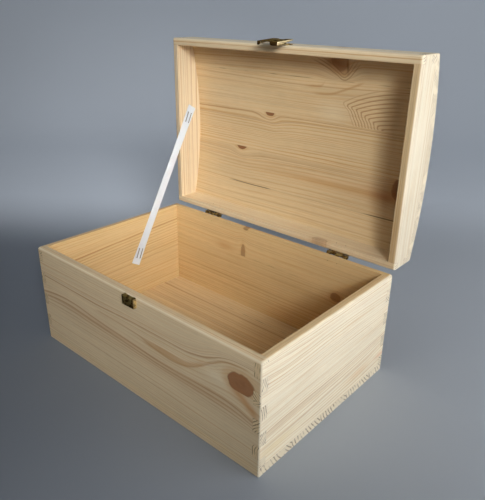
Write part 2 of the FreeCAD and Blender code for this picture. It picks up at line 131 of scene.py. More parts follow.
class Bench:
    """Adds shader nodes to a new material or world and joins them up."""

    def __init__(self, owner):
        owner.use_nodes = True
        self.owner, self.tree = owner, owner.node_tree

    def put(self, socket, value):
        """Joins a socket to a signal, or gives it a plain value."""
        if isinstance(value, Signal):
            self.tree.links.new(value.socket, socket)
        else:
            socket.default_value = value

    def node(self, kind, values=(), **settings):
        """A new node with its settings, and its inputs in order or by name or number."""
        node = self.tree.nodes.new("ShaderNode" + kind)
        for key, setting in settings.items():
            setattr(node, key, setting)
        for key, value in values.items() if isinstance(values, dict) else enumerate(values):
            self.put(node.inputs[key], value)
        return node

    def out(self, node, output=0):
        return Signal(self, node.outputs[output])

    def coordinate(self, kind):
        """The surface's Object place, Normal or UV."""
        return self.out(self.node("TexCoord"), kind)

    def math(self, operation, *values, held=False):
        """A sum of up to three values, which can be held between 0 and 1."""
        return self.out(self.node("Math", values, operation=operation, use_clamp=held))

    def vector(self, operation, *values):
        node = self.node("VectorMath", values, operation=operation)
        return self.out(node, "Value" if operation in ("DOT_PRODUCT", "LENGTH") else "Vector")

    def combine(self, *values):
        return self.out(self.node("CombineXYZ", values))

    def parts(self, kind, value):
        """The three parts of a place (SeparateXYZ) or a colour (SeparateColor)."""
        node = self.node(kind, (value,))
        return [self.out(node, number) for number in range(3)]

    def noise(self, place, scale=1.0, detail=2.0, roughness=0.5):
        return self.out(self.node("TexNoise", {"Vector": place, "Scale": scale, "Detail": detail,
                                               "Roughness": roughness}))

    def stretched_noise(self, place, stretch, detail=1.0, roughness=0.5):
        return self.noise(self.vector("MULTIPLY", place, stretch), 1.0, detail, roughness)

    def ramp(self, value, stops, interpolation="LINEAR"):
        """The colour and opacity of a ramp of (place, colour or grey) stops."""
        node = self.node("ValToRGB", (value,))
        node.color_ramp.interpolation = interpolation
        elements = node.color_ramp.elements
        stops = sorted(stops, key=lambda stop: stop[0])
        while len(elements) < len(stops):
            elements.new(1.0)
        for element, (place, _) in zip(elements, stops):
            element.position = place
        for element, (_, colour) in zip(elements, stops):
            grey = isinstance(colour, (int, float))
            element.color = (colour, colour, colour, 1.0) if grey else colour
        return self.out(node), self.out(node, 1)

    def wave(self, count, *stops):
        """A grey that runs through the same stops between each whole count and the next."""
        return self.ramp(self.math("FRACT", count), [(0.0, 0.0), *stops])[0]

    def curve(self, value, points):
        """A smooth curve through (value, result) points, both 0 to 1."""
        node = self.node("FloatCurve", {"Value": value})
        line = node.mapping.curves[0].points
        line[0].location, line[1].location = points[0], points[-1]
        for point in points[1:-1]:
            line.new(*point)
        for point in line:
            point.handle_type = "AUTO_CLAMPED"
        node.mapping.update()
        return self.out(node)

    def span(self, value, start, end, low=0.0, high=1.0, kind="LINEAR"):
        """A value's run from start to end, turned into a run from low to high."""
        values = (value, start, end, low, high)
        return self.out(self.node("MapRange", values, interpolation_type=kind))

    def smooth(self, value, start, end):
        """0 at start, 1 at end, with an eased run between them."""
        return self.span(value, start, end, kind="SMOOTHSTEP")

    def most(self, first, *others):
        """The largest of some values."""
        for other in others:
            first = self.math("MAXIMUM", first, other)
        return first

    def bell(self, squared):
        """1 where a squared distance is 0, falling to nothing as it grows."""
        return self.math("POWER", 1 / math.e, squared)

    def mix(self, share, first, second, blend="MIX"):
        """Mixes two colours."""
        first, second = (colour if isinstance(colour, Signal) else opaque(colour)
                         for colour in (first, second))
        return self.out(self.node("Mix", {0: share, 6: first, 7: second}, data_type="RGBA",
                                  blend_type=blend), 2)

    def finish(self, shader="Principled BSDF", **values):
        """Gives the surface or background its inputs, by name with _ for a space."""
        for name, value in values.items():
            self.put(self.tree.nodes[shader].inputs[name.replace("_", " ")], value)
        return self.owner

    def bump(self, height, depth, strength):
        """Raises the surface by height times depth, in metres."""
        raised = self.node("Bump", {"Strength": strength, "Distance": depth, "Height": height})
        self.finish(Normal=self.out(raised))


def finish_node(name, material):
    """Gives a CAD node its material."""
    for slot in frame["nodes"][name].material_slots:
        slot.material = material


# ---------------------------------------------------------------- modelling by hand

SHARP = 35.0


def only(piece):
    """Deselects everything, then selects one piece and makes it active."""
    bpy.ops.object.select_all(action="DESELECT")
    piece.select_set(True)
    bpy.context.view_layer.objects.active = piece


@contextmanager
def shaping(piece, kind="FACE"):
    """Edit mode on one piece, with nothing in it selected."""
    only(piece)
    bpy.ops.object.mode_set(mode="EDIT")
    bpy.ops.mesh.select_mode(type=kind)
    bpy.ops.mesh.select_all(action="DESELECT")
    yield
    bpy.ops.object.mode_set(mode="OBJECT")


def pick(piece, kind, test):
    """Selects only the faces, edges or verts whose middle, in millimetres, passes a test."""
    mesh = bmesh.from_edit_mesh(piece.data)
    bpy.ops.mesh.select_all(action="DESELECT")
    for item in getattr(mesh, kind):
        if kind == "verts":
            middle = item.co
        elif kind == "edges":
            middle = (item.verts[0].co + item.verts[1].co) / 2
        else:
            middle = item.calc_center_median()
        if test(middle / MM, item):
            item.select_set(True)
    mesh.select_flush_mode()
    bmesh.update_edit_mesh(piece.data)


def settle(piece):
    """Puts a piece's place, turn and scale into its mesh."""
    only(piece)
    bpy.ops.object.transform_apply(location=True, rotation=True, scale=True)


def new_piece(name, add, **form):
    """A new, named mesh from one of Blender's primitives, selected alone."""
    bpy.ops.object.select_all(action="DESELECT")
    add(**form)
    piece = bpy.context.active_object
    piece.name = piece.data.name = name
    return piece


def new_block(name, low, high):
    """A box between two corners in millimetres, to be shaped."""
    low, high = Vector(low) * MM, Vector(high) * MM
    piece = new_piece(name, bpy.ops.mesh.primitive_cube_add, size=1.0, location=(low + high) / 2,
                      scale=high - low)
    settle(piece)
    return piece


def new_sheet(name, low, high, height):
    """A level sheet between two (x, y) corners at a height, in millimetres, to be shaped."""
    low, high = Vector((*low, height)) * MM, Vector((*high, height)) * MM
    size = high - low
    piece = new_piece(name, bpy.ops.mesh.primitive_plane_add, size=1.0,
                      location=(low + high) / 2)
    piece.scale = (size.x, size.y, 1.0)
    settle(piece)
    return piece


def new_tube(name, centre, axis, radius, wall, length):
    """An open tube round an axis, in millimetres."""
    turn = Vector((0, 0, 1)).rotation_difference(Vector(axis)).to_euler()
    piece = new_piece(name, bpy.ops.mesh.primitive_cylinder_add, vertices=24, radius=radius * MM,
                      depth=length * MM, location=Vector(centre) * MM, rotation=turn,
                      end_fill_type="NOTHING")
    settle(piece)
    thicken(piece, wall)
    return piece


def extrude_edges(x, z):
    """Extrudes the selected edges by a step in millimetres."""
    bpy.ops.mesh.extrude_edges_move(TRANSFORM_OT_translate={"value": (x * MM, 0, z * MM)})


def apply_modifier(piece, kind, **settings):
    """Adds a modifier to a piece and applies it."""
    only(piece)
    modifier = piece.modifiers.new(kind.title(), kind)
    for key, setting in settings.items():
        setattr(modifier, key, setting)
    bpy.ops.object.modifier_apply(modifier=modifier.name)


def thicken(piece, thickness, offset=-1):
    apply_modifier(piece, "SOLIDIFY", thickness=thickness * MM, offset=offset,
                   use_even_offset=True, use_quality_normals=True)


def ease_edges(piece, width, segments):
    apply_modifier(piece, "BEVEL", width=width * MM, segments=segments, limit_method="ANGLE",
                   angle_limit=math.radians(SHARP), miter_outer="MITER_ARC")


def shade(piece, angle=SHARP):
    """Smooths the shading across soft edges and keeps the sharp ones."""
    only(piece)
    bpy.ops.object.shade_smooth_by_angle(angle=math.radians(angle))


def merge(name, pieces):
    """Joins pieces into the first one."""
    only(pieces[0])
    for piece in pieces[1:]:
        piece.select_set(True)
    bpy.ops.object.join()
    piece = bpy.context.active_object
    piece.name = piece.data.name = name
    return piece


def dress(piece, material, body, slot, *nodes):
    """Gives a piece its material and body, and hides the CAD nodes that it stands for; its slot is not
    used.
    """
    piece.data.materials.clear()
    piece.data.materials.append(material)
    if body is not None:
        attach(piece, body)
    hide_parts(*nodes)


# ---------------------------------------------------------------- settings

class PineSettings(bpy.types.PropertyGroup):
    """Colours and growth rings of the boards."""
    pale: bpy.props.FloatVectorProperty(
        name="Pale wood", description="Colour of the wood between the growth rings",
        default=linear(229, 203, 158), size=3, min=0, max=1, subtype="COLOR")
    tan: bpy.props.FloatVectorProperty(
        name="Ring", description="Colour of a growth ring",
        default=linear(206, 158, 98), size=3, min=0, max=1, subtype="COLOR")
    dark: bpy.props.FloatVectorProperty(
        name="Strong ring", description="Colour of the few strong growth rings",
        default=linear(170, 112, 62), size=3, min=0, max=1, subtype="COLOR")
    knot: bpy.props.FloatVectorProperty(
        name="Knot", description="Colour of a knot's heart",
        default=linear(190, 138, 98), size=3, min=0, max=1, subtype="COLOR")
    knot_rim: bpy.props.FloatVectorProperty(
        name="Knot rim", description="Colour of the bark line round a knot",
        default=linear(138, 90, 60), size=3, min=0, max=1, subtype="COLOR")
    joint: bpy.props.FloatVectorProperty(
        name="Joint", description="Colour of the thin lines where boards meet",
        default=linear(120, 82, 46), size=3, min=0, max=1, subtype="COLOR")
    ring_spacing: bpy.props.FloatProperty(
        name="Ring spacing", description="Mean distance between growth rings on a face",
        default=3.2 * MM, min=0.5 * MM, max=20 * MM, subtype="DISTANCE", unit="LENGTH")


class BrassSettings(bpy.types.PropertyGroup):
    """Colours of the hinges and the catch."""
    bright: bpy.props.FloatVectorProperty(
        name="Bright brass", description="Colour of the plating where it is worn bright",
        default=linear(214, 188, 124), size=3, min=0, max=1, subtype="COLOR")
    # Painted highlight: the colour painted on the brass sides that face +X, where the light from the
    # right falls.
    painted_side_highlight: bpy.props.FloatVectorProperty(
        name="Rubbed brass", description="Colour of the sides that hands have rubbed",
        default=linear(250, 236, 196), size=3, min=0, max=1, subtype="COLOR")
    patina_and_shade: bpy.props.FloatVectorProperty(
        name="Aged brass", description="Colour of the plating where it has darkened",
        default=linear(100, 76, 42), size=3, min=0, max=1, subtype="COLOR")
    sheet: bpy.props.FloatProperty(
        name="Sheet", description="Thickness of the pressed sheet of the catch",
        default=0.5 * MM, min=0.2 * MM, max=1 * MM, subtype="DISTANCE", unit="LENGTH")


class RibbonSettings(bpy.types.PropertyGroup):
    """Size and colour of the ribbon stay."""
    width: bpy.props.FloatProperty(
        name="Width", description="Width of the ribbon",
        default=10 * MM, min=4 * MM, max=30 * MM, subtype="DISTANCE", unit="LENGTH")
    thickness: bpy.props.FloatProperty(
        name="Thickness", description="Thickness of the ribbon",
        default=0.34 * MM, min=0.1 * MM, max=1 * MM, subtype="DISTANCE", unit="LENGTH")
    colour: bpy.props.FloatVectorProperty(
        name="Colour", description="Colour of the woven tape",
        default=linear(236, 247, 255), size=3, min=0, max=1, subtype="COLOR")


class StudioSettings(bpy.types.PropertyGroup):
    """Floor, lamps and camera."""
    floor: bpy.props.FloatVectorProperty(
        name="Floor", description="Colour of the floor round the chest",
        default=linear(138, 148, 162), size=3, min=0, max=1, subtype="COLOR")
    backdrop: bpy.props.FloatVectorProperty(
        name="Backdrop", description="Colour of the far floor and the backdrop",
        default=linear(221, 232, 246), size=3, min=0, max=1, subtype="COLOR")
    window_power: bpy.props.FloatProperty(
        name="Window", description="Power of the large soft lamp on the right",
        default=5.1, min=0, max=100, unit="POWER")
    lid_power: bpy.props.FloatProperty(
        name="Lid lamp", description="Power of the soft lamp that is aimed into the open lid",
        default=0.43, min=0, max=100, unit="POWER")
    front_power: bpy.props.FloatProperty(
        name="Front lamp", description="Power of the soft lamp that is aimed at the front board",
        default=0.08, min=0, max=100, unit="POWER")
    room_light: bpy.props.FloatProperty(
        name="Room light", description="Strength of the even light from all round",
        default=0.16, min=0, max=2)
    room_seen: bpy.props.FloatProperty(
        name="Room seen", description="Strength of the room where the camera or a gloss sees it",
        default=0.4, min=0, max=2)
    paper_glow: bpy.props.FloatProperty(
        name="Paper glow", description="How much the far paper is lifted where it is seen",
        default=0.1, min=0, max=1)
    lens: bpy.props.FloatProperty(
        name="Lens", description="Focal length of the camera on a 36 mm wide sensor",
        default=41.289, min=10, max=200)


# ---------------------------------------------------------------- pine

def board(grain, face, depth, half_length, **features):
    """One board: the axis, sign and offset in millimetres of each of its three directions.

    grain runs along the board, face across it, and depth into it from its measured side.
    """
    plain = dict.fromkeys(("flows", "lines", "veins", "patches", "knots", "feathers"), ())
    # Painted bounce light: the warmth given here is how warm a board's inner faces are painted.
    plain.update(strips=[(0, 0.5, 30, 1, 1)], fingers=None, owns_even=False, seam=None, arch=False,
                 span=(0, 108), warp=0.5, paleness=0, warmth=0, hair=0.4, end_rings=2.3,
                 end_ink=0.8)
    return {**plain, **features, "grain": grain, "face": face, "depth": depth,
            "half_length": half_length}


# All places are in millimetres along and across a board. Limits are the lowest and highest place.
# strips: start, tone 0 to 1, place of the log's heart, ring density, strength of its rings
# flows: level, then the places that a ring of that level passes through
# lines: level, width and strength of a stronger ring
# veins: places, width, strength and colour of a single band
# patches: along, across, reach along, reach across, strength, colour, limits
# knots: along, across, radius along, radius across, strength, heart, limits
# feathers: tip along and across, lean, bend and spacing of the strokes above it, fall, sag and
#   gap of those below it, strength, limits
# Each board may also give its paleness, partly its own tone and partly painted light, and how warm its
# inner faces are painted, as painted bounce light.
BOARDS = {
    "base_front_board": board(
        ("X", 1, 0), ("Z", 1, 0), ("Y", 1, 96.5), 150, fingers=93, seed=3, seam=9, hair=0.3,
        paleness=0.3,
        strips=[(0, 0.5, 58, 1, 0.6), (71.5, 0.56, 96, 1, 0.75)],
        flows=[(44, [(-150, 44), (0, 44), (150, 40)]),
            (58, [(-150, 58), (-120, 62.5), (-100, 63.5), (-60, 60.5), (0, 57), (40, 55.5), (100, 57),
                (120, 56), (150, 48)]),
            (78, [(-150, 78), (-60, 77.5), (0, 80.5), (40, 81.5), (70, 82), (85, 84.5), (100, 89),
                (110, 93), (122, 96), (150, 97)]),
            (85, [(-150, 84), (0, 87), (60, 88), (85, 92), (105, 98), (150, 101)])],
        lines=[(58, 2, 0.95), (54, 2, 0.7), (50.5, 1.5, 0.5), (47, 1.3, 0.4), (44, 1, 0.3),
            (78, 1.5, 0.9), (80.6, 1, 0.4), (83, 1, 0.35), (85.5, 1.2, 0.35), (73.5, 0.8, 0.25),
            (17, 0.8, 0.3), (11, 0.8, 0.3), (26, 1, 0.3), (63, 0.9, 0.25)],
        veins=[([(-60, 71.4), (-40, 71.5), (10, 70.3), (25, 67.2), (40, 65), (50, 64.2), (62, 65.2),
                (75, 69), (85, 74), (100, 84), (112, 91), (125, 94), (140, 95)], 0.8, 0.45,
                (180, 130, 80)),
            ([(60, 71.5), (80, 73), (92, 80), (104, 88), (116, 92.5), (130, 94)], 0.7, 0.3,
                (180, 128, 80)),
            ([(10, 68), (30, 66.5), (50, 65.6), (66, 67.4), (80, 73), (94, 81)], 2.6, 0.42,
                (204, 154, 98)),
            ([(112, 71.5), (122, 71.4), (130, 68.5), (138, 63), (150, 56)], 5, 0.8, (206, 154, 100))],
        patches=[(45, 69.5, 28, 3.4, 0.6, (204, 154, 98), 63, 71.4),
            (104, 74, 11, 5, 0.8, (240, 223, 190)), (-60, 56, 90, 3.5, 0.35, (200, 150, 100)),
            (60, 50.5, 90, 3.5, 0.35, (200, 150, 100))],
        knots=[(130, 79.5, 13, 8.9, 1, 0.5, 71.5)]),
    "base_back_board": board(
        ("X", 1, 0), ("Z", 1, 0), ("Y", -1, 89), 150, fingers=93, seed=11, seam=9, warmth=0.5,
        strips=[(0, 0.45, 40, 1, 0.8), (72.5, 0.62, 100, 0.8, 0.45)],
        lines=[(40, 1, 0.5), (35, 1, 0.5), (28, 1, 0.5), (22, 1, 0.4), (17, 1, 0.45), (60, 1.6, 0.3),
            (92, 1.2, 0.4), (96, 1, 0.3)],
        patches=[(-60, 77, 14, 5, 0.5, (204, 150, 96), 72.6)],
        knots=[(-31.5, 76, 3.2, 11, 0.6, 1.2, 72.6), (-28, 107.5, 3.5, 2, 0.6, 1.2),
            (95, 65, 6, 5, 0.7, 1)]),
    "base_left_board": board(
        ("Y", 1, 0), ("Z", 1, 0), ("X", -1, -142.5), 96.5, fingers=93, owns_even=True, seed=19, seam=9,
        warmth=0.5,
        strips=[(0, 0.42, 60, 1.1, 0.8)],
        flows=[(84, [(-97, 81), (-57, 83), (0, 86), (85, 90), (97, 90.5)])],
        lines=[(84, 2, 0.85), (80.5, 1, 0.5), (77, 1, 0.5), (73.5, 1, 0.5), (70, 1, 0.45),
            (66.5, 1, 0.45), (63, 1, 0.4), (60, 1, 0.4), (57, 1.4, 0.45), (51, 1.4, 0.5), (45, 1.2, 0.4),
            (36, 1.4, 0.4)]),
    "base_right_board": board(
        ("Y", 1, 0), ("Z", 1, 0), ("X", -1, 150), 96.5, fingers=93, owns_even=True, seed=27, seam=9,
        hair=0.6,
        strips=[(0, 0.72, 24, 1.1, 1), (72, 0.7, 99, 1.3, 1.1)],
        flows=[(18, [(-97, 17.5), (-60, 16), (0, 14), (60, 15), (97, 17)]),
            (26, [(-97, 26.5), (-50, 26.5), (0, 28), (60, 31), (97, 36)]),
            (41, [(-97, 40), (-60, 41.5), (-20, 41.5), (40, 42.5), (80, 44.5), (97, 46)]),
            (93, [(-97, 97), (-60, 94), (0, 95.5), (60, 94), (97, 92.5)]),
            (99, [(-97, 103), (-60, 100), (0, 98.5), (97, 99)])],
        lines=[(41, 1.3, 0.8), (37, 1.1, 0.7), (31.5, 1.1, 0.6), (26, 1.2, 0.5), (99, 1.2, 0.45),
            (93, 1.1, 0.35), (50, 1, 0.3), (18, 1.2, 0.2)],
        patches=[(-75, 21, 26, 5, 0.35, (226, 200, 140)), (50, 22, 18, 3.5, 0.45, (224, 186, 138)),
            (90, 21, 10, 3, 0.5, (222, 176, 140)), (-93, 86.5, 6, 6, 0.4, (196, 178, 170)),
            (93, 84, 6, 6, 0.4, (196, 178, 170))]),
    "base_bottom_panel": board(
        ("X", 1, 0), ("Y", 1, 0), ("Z", -1, 9), 150, seed=35, span=(-97, 97), warmth=0.6, end_rings=3.7,
        end_ink=0.65, paleness=0.25,
        strips=[(-97, 0.5, -36, 0.9, 0.8), (-54, 0.55, 8, 0.8, 0.6), (-12, 0.47, 46, 1, 0.9),
            (30, 0.55, 92, 0.9, 0.8), (72, 0.6, 130, 0.9, 0.6)],
        lines=[(64.5, 2, 0.85), (41.5, 1, 0.8), (38, 1, 0.7), (35.5, 0.9, 0.6), (29, 1, 0.5),
            (70, 1.2, 0.4), (55, 1.2, 0.4), (50, 1.2, 0.4)]),
    "lid_front_board": board(
        ("X", 1, 0), ("Y", 1, 9.9), ("Z", -1, 303), 150, fingers=112.9, seed=43, seam=130.3,
        paleness=0.25, span=(100, 150),
        strips=[(100, 0.58, 100, 1, 1.1)],
        lines=[(118, 1.6, 0.3)]),
    "lid_back_board": board(
        ("X", 1, 0), ("Y", 1, 9.9), ("Z", -1, 117.5), 150, fingers=112.9, seed=51, seam=130.3,
        paleness=0.4, span=(100, 150),
        strips=[(100, 0.66, 100, 0.8, 0.5)],
        knots=[(64, 109, 9, 4.5, 0.4, 0.8)]),
    "lid_left_end": board(
        ("Z", -1, 206.5), ("Y", 1, 9.9), ("X", -1, -142.5), 96.5, fingers=112.9, owns_even=True, seed=59,
        seam=142.65, paleness=0.5, span=(100, 160),
        strips=[(100, 0.5, 120, 0.8, 0.6)],
        lines=[(110, 1, 0.5), (113, 1.2, 0.6), (117.5, 1.2, 0.55), (120.5, 1, 0.5), (123.5, 1.2, 0.5),
            (129.5, 1.6, 0.65), (137, 1.8, 0.6)]),
    "lid_right_end": board(
        ("Z", -1, 206.5), ("Y", 1, 9.9), ("X", -1, 150), 96.5, fingers=112.9, owns_even=True, seed=67,
        seam=142.65, hair=0.6, span=(100, 160),
        strips=[(100, 0.25, 120, 1.1, 1)],
        lines=[(113.5, 1.4, 0.4), (110.5, 1, 0.4)]),
    "lid_top_panel": board(
        ("X", 1, 0), ("Z", -1, 206.5), ("Y", 1, -132.75), 150, seed=75, arch=True, span=(-97, 97),
        warp=0.35,
        strips=[(-97, 0.48, -107, 0.8, 0.6), (-66, 0.6, -76, 0.75, 0.6), (-24, 0.58, -34, 1.15, 1.25),
            (19.5, 0.44, 10, 0.9, 0.7), (60.5, 0.52, 50, 0.75, 0.5)],
        flows=[(-71, [(-150, -72), (20, -74), (38, -73), (52, -69), (61, -66.5), (70, -70), (84, -74),
                (150, -73)]),
            (-66, [(-150, -66), (150, -66)]),
            (-59, [(-150, -62.5), (-100, -60.5), (-60, -59), (-20, -57.5), (30, -58), (150, -62)]),
            (-51, [(-150, -54), (-60, -52.5), (20, -50.5), (60, -52), (150, -54)]),
            (-24, [(-150, -24), (150, -24)]),
            (-20.5, [(-150, -21), (-60, -22.5), (-50, -21), (-42, -18), (-33, -16.5), (-25, -19),
                (-19, -21.5), (-8, -22), (150, -22)]),
            (-16, [(-150, -13.5), (-60, -13.5), (-40, -13), (-28, -12.5), (-15, -15), (0, -17),
                (40, -18.5), (150, -19.5)]),
            (19.5, [(-150, 19.5), (150, 19.5)]),
            (24, [(-150, 22), (-95, 22), (-85, 24), (-73, 28), (-62, 27), (-45, 23.5), (0, 22.5),
                (150, 22)]),
            (32, [(-150, 33), (-73, 35), (-30, 32.5), (40, 30), (150, 29)])],
        lines=[(82, 1.4, 0.5), (75, 1, 0.3), (-20.5, 1.5, 0.6), (-16, 1.4, 0.6), (-59, 1.3, 0.6),
            (-51, 1.2, 0.5), (-45, 1, 0.3), (-36, 1, 0.45), (-33, 0.9, 0.35), (-69, 1.2, 0.5),
            (-73, 1.2, 0.4), (24, 1, 0.55), (26.5, 1, 0.55), (29, 1, 0.6), (32, 1, 0.55), (35, 1, 0.35)],
        veins=[([(-60, 61.8), (0, 61), (150, 60)], 0.4, 0.3, (150, 104, 62)),
            ([(-92, 61), (-60, 61.3), (-24, 61)], 0.45, 0.85, (84, 54, 28)),
            ([(90, 60.3), (130, 59.6), (150, 59)], 0.45, 0.85, (84, 54, 28)),
            ([(20, -50.5), (45, -52), (60, -57), (75, -63), (84, -66.5)], 1.2, 0.6, (196, 146, 92)),
            ([(10, -57.5), (33, -58.5), (37, -61), (40, -66)], 1.3, 0.6, (196, 146, 92)),
            ([(20, -86), (40, -78), (52, -71.5), (61, -66.8), (66, -69), (72, -75), (80, -84)], 0.7, 0.6,
                (160, 108, 64)),
            ([(24, -88), (42, -80.5), (53, -74), (61, -69.4), (65, -71.5), (71, -78), (78, -87)], 0.7,
                0.6, (160, 108, 64)),
            ([(30, -89), (44, -83), (54, -77), (61, -72.2), (64.5, -74.5), (69, -80), (75, -89)], 0.7,
                0.6, (160, 108, 64))],
        patches=[(60, 39.5, 90, 4, 0.6, (206, 152, 92)),
            (48, -34, 18, 10, 0.6, (238, 220, 182), None, -24.2),
            (-90, -38, 50, 12, 0.35, (236, 216, 176), None, -24.2),
            (118, 38, 22, 9, 0.6, (176, 112, 64), 19.6),
            (55, -79, 11, 7.5, 0.6, (190, 132, 84), None, -66.2),
            (49, -84, 8, 4, 0.7, (150, 92, 52), None, -66.2),
            (65, -80, 1.3, 6, 0.8, (116, 66, 36), None, -66.2)],
        knots=[(-73, 19.5, 7, 3.6, 1, 1.7, 19.5), (-32.5, -24, 5.5, 3.8, 1, 1.7, -24),
            (130, 29, 9, 11, 0.9, 1, 19.5), (57, -86, 9, 11, 0.55, 1, None, -66)],
        feathers=[(62, -45, 0.88, -0.0141, 3.4, 0.5, 0.0036, 4, 0.9, -66, -24)]),
}

# Sizes and places in millimetres; JOINT_INK is a share and ARCH_FALL is per millimetre.
GLUE_LINE = 0.25
JOINT_LINE = 0.22
JOINT_INK = 0.6
LINES_IN_A_RAMP = 9
FINGER_PITCH = 12.5
WALL = 7.5
CURVED_SEAM_FROM = 50
ARCH_FALL = 1 / 768.5
HEART_DEPTH = 20.0
# Painted light: the place across x, in millimetres, from which the right outer faces are painted paler.
PAINTED_LIGHT_FROM_X = 148.5
RIM_FACE = 303.0
INNER_SIDE = (1.2, 0.3)


def spot_at(bench, place, centre, reach):
    """A soft spot in the face, 1 at its centre, and the squared distance from it in reaches."""
    shares = [1 / value for value in reach]
    moved = bench.vector("MULTIPLY_ADD", place, (*shares, 0.0),
                         (-centre[0] * shares[0], -centre[1] * shares[1], 0.0))
    squared = bench.vector("DOT_PRODUCT", moved, moved)
    return bench.bell(squared), squared


def within(across, value, lowest=None, highest=None):
    """A value, cut to nothing below and above two places across the board."""
    if lowest is not None:
        value = value * (across > lowest)
    if highest is not None:
        value = value * (across < highest)
    return value


def board_place(bench, form):
    """The place along, across and into a board, in millimetres."""
    scaled = bench.out(bench.node("VectorMath", {0: bench.coordinate("Object"), "Scale": 1 / MM},
                                  operation="SCALE"))
    axes = dict(zip("XYZ", bench.parts("SeparateXYZ", scaled)))
    along, across, into = (axes[axis] * sign + offset
                           for axis, sign, offset in (form["grain"], form["face"], form["depth"]))
    if form["arch"]:
        into = into + across * across * ARCH_FALL
    return along, across, into


def joint_lines(bench, form, along, across):
    """Thin lines where a board's fingers and its long edge meet its neighbours."""
    from_middle, shoulder, marks = abs(along), form["half_length"] - WALL, []
    if form["fingers"] is not None:
        turns = (across - form["fingers"]) * (0.5 / FINGER_PITCH)
        even = bench.math("FRACT", turns) < 0.5
        on_edge = bench.math("PINGPONG", turns * 2.0, 0.5) < JOINT_LINE / FINGER_PITCH
        marks.append(on_edge * (from_middle > shoulder - 0.15))
        stops_short = 1.0 - even if form["owns_even"] else even
        marks.append(bench.math("COMPARE", from_middle, shoulder, JOINT_LINE) * stops_short)
    if form["seam"] is not None:
        if form["owns_even"] and form["seam"] > CURVED_SEAM_FROM:
            across = across + along * along * ARCH_FALL
        marks.append(bench.math("COMPARE", across, form["seam"], GLUE_LINE))
    return [mark * JOINT_INK for mark in marks]


def traced(bench, form, along_share, points):
    """The place across a board of a line drawn through given points."""
    half, (low, high) = form["half_length"], form["span"]
    places = [((x + half) / (2 * half), (y - low) / (high - low)) for x, y in points]
    return bench.curve(along_share, places) * (high - low) + low


def ring_level(bench, form, along_share, across):
    """A place's level across the board, with the rings that flow round things pulled straight."""
    low, high = form["span"]
    places = [low, *(traced(bench, form, along_share, points) for _, points in form["flows"]), high]
    levels = [low, *(level for level, _ in form["flows"]), high]
    total = low
    for number, (level, next_level) in enumerate(zip(levels, levels[1:])):
        total += bench.span(across, places[number], places[number + 1], 0.0, next_level - level)
    return total


def strips(bench, form, across):
    """The tone, log's heart, ring density and ring strength of the strips a board is glued from.

    The ring strength is 0 in the glue lines between them.
    """
    low, high = form["span"]
    stops = []
    for number, (start, tone, heart, density, figure) in enumerate(form["strips"]):
        values = (tone, (heart - low) / (high - low) / 2 + 0.25, density / 2)
        if number:
            stops.append((board_share(form, start - GLUE_LINE / 2), (*values, 0.0)))
            start = board_share(form, start + GLUE_LINE / 2)
        stops.append((start if number else 0.0, (*values, figure / 2)))
    colour, figure = bench.ramp(bench.span(across, low, high), stops, "CONSTANT")
    tone, heart, density = bench.parts("SeparateColor", colour)
    return tone, heart * (2 * (high - low)) + (1.5 * low - 0.5 * high), density * 2.0, figure


def board_share(form, place):
    """A place across a board as a share of its span."""
    low, high = form["span"]
    return min(max((place - low) / (high - low), 0.0), 1.0)


def strong_lines(bench, form, rings):
    """The few strong rings, at their measured levels."""
    share, strong = bench.span(rings, *form["span"]), 0.0
    for first in range(0, len(form["lines"]), LINES_IN_A_RAMP):
        stops = [(0.0, 0.0), (1.0, 0.0)]
        for place, width, strength in form["lines"][first:first + LINES_IN_A_RAMP]:
            stops += [(board_share(form, place - width), 0.0),
                      (board_share(form, place), strength),
                      (board_share(form, place + 0.4 * width), 0.0)]
        strong = bench.most(strong, bench.ramp(share, stops)[0])
    return strong


def feathered(bench, feather, along, across, wobble):
    """The strokes of a feathered figure, and how much of the place it covers."""
    tip, level, lean, bend, spacing, fall, sag, gap, strength, *limits = feather
    run, rise = along - tip + wobble * 3.0, across - level
    above = (run + (rise * -bend - lean) * rise) * (1 / spacing)
    below = (rise + (run * -sag + fall) * run) * (1 / gap)
    count = bench.math("SMOOTH_MIN", above, below, 1.2)
    strokes = bench.wave(count, (0.45, 0.0), (0.7, 1.0), (0.8, 1.0), (0.93, 0.0))
    cover = bench.smooth(count, -0.9, 0.3) * bench.smooth(run, 75.0, 40.0) * strength
    return strokes, within(across, cover, *limits)


def end_arcs(bench, form, face, across, into, heart):
    """End grain: broken arcs round the heart of the log that each strip was cut from."""
    radius = bench.vector("LENGTH", bench.combine(across - heart, into + HEART_DEPTH, 0.0))
    radius = (ragged(bench, face) * 2.5 + radius) / form["end_rings"]
    arcs = bench.wave(radius, (0.45, 0.0), (0.65, 1.0), (0.75, 1.0), (0.9, 0.0))
    return arcs * bench.smooth(bench.stretched_noise(face, (0.02, 0.11, 0.11)), 0.32, 0.56)


def ragged(bench, face):
    """A slow wander from -0.5 to 0.5, that roughens an outline."""
    return bench.stretched_noise(face, (0.16, 0.16, 0.1), 2.0) - 0.5


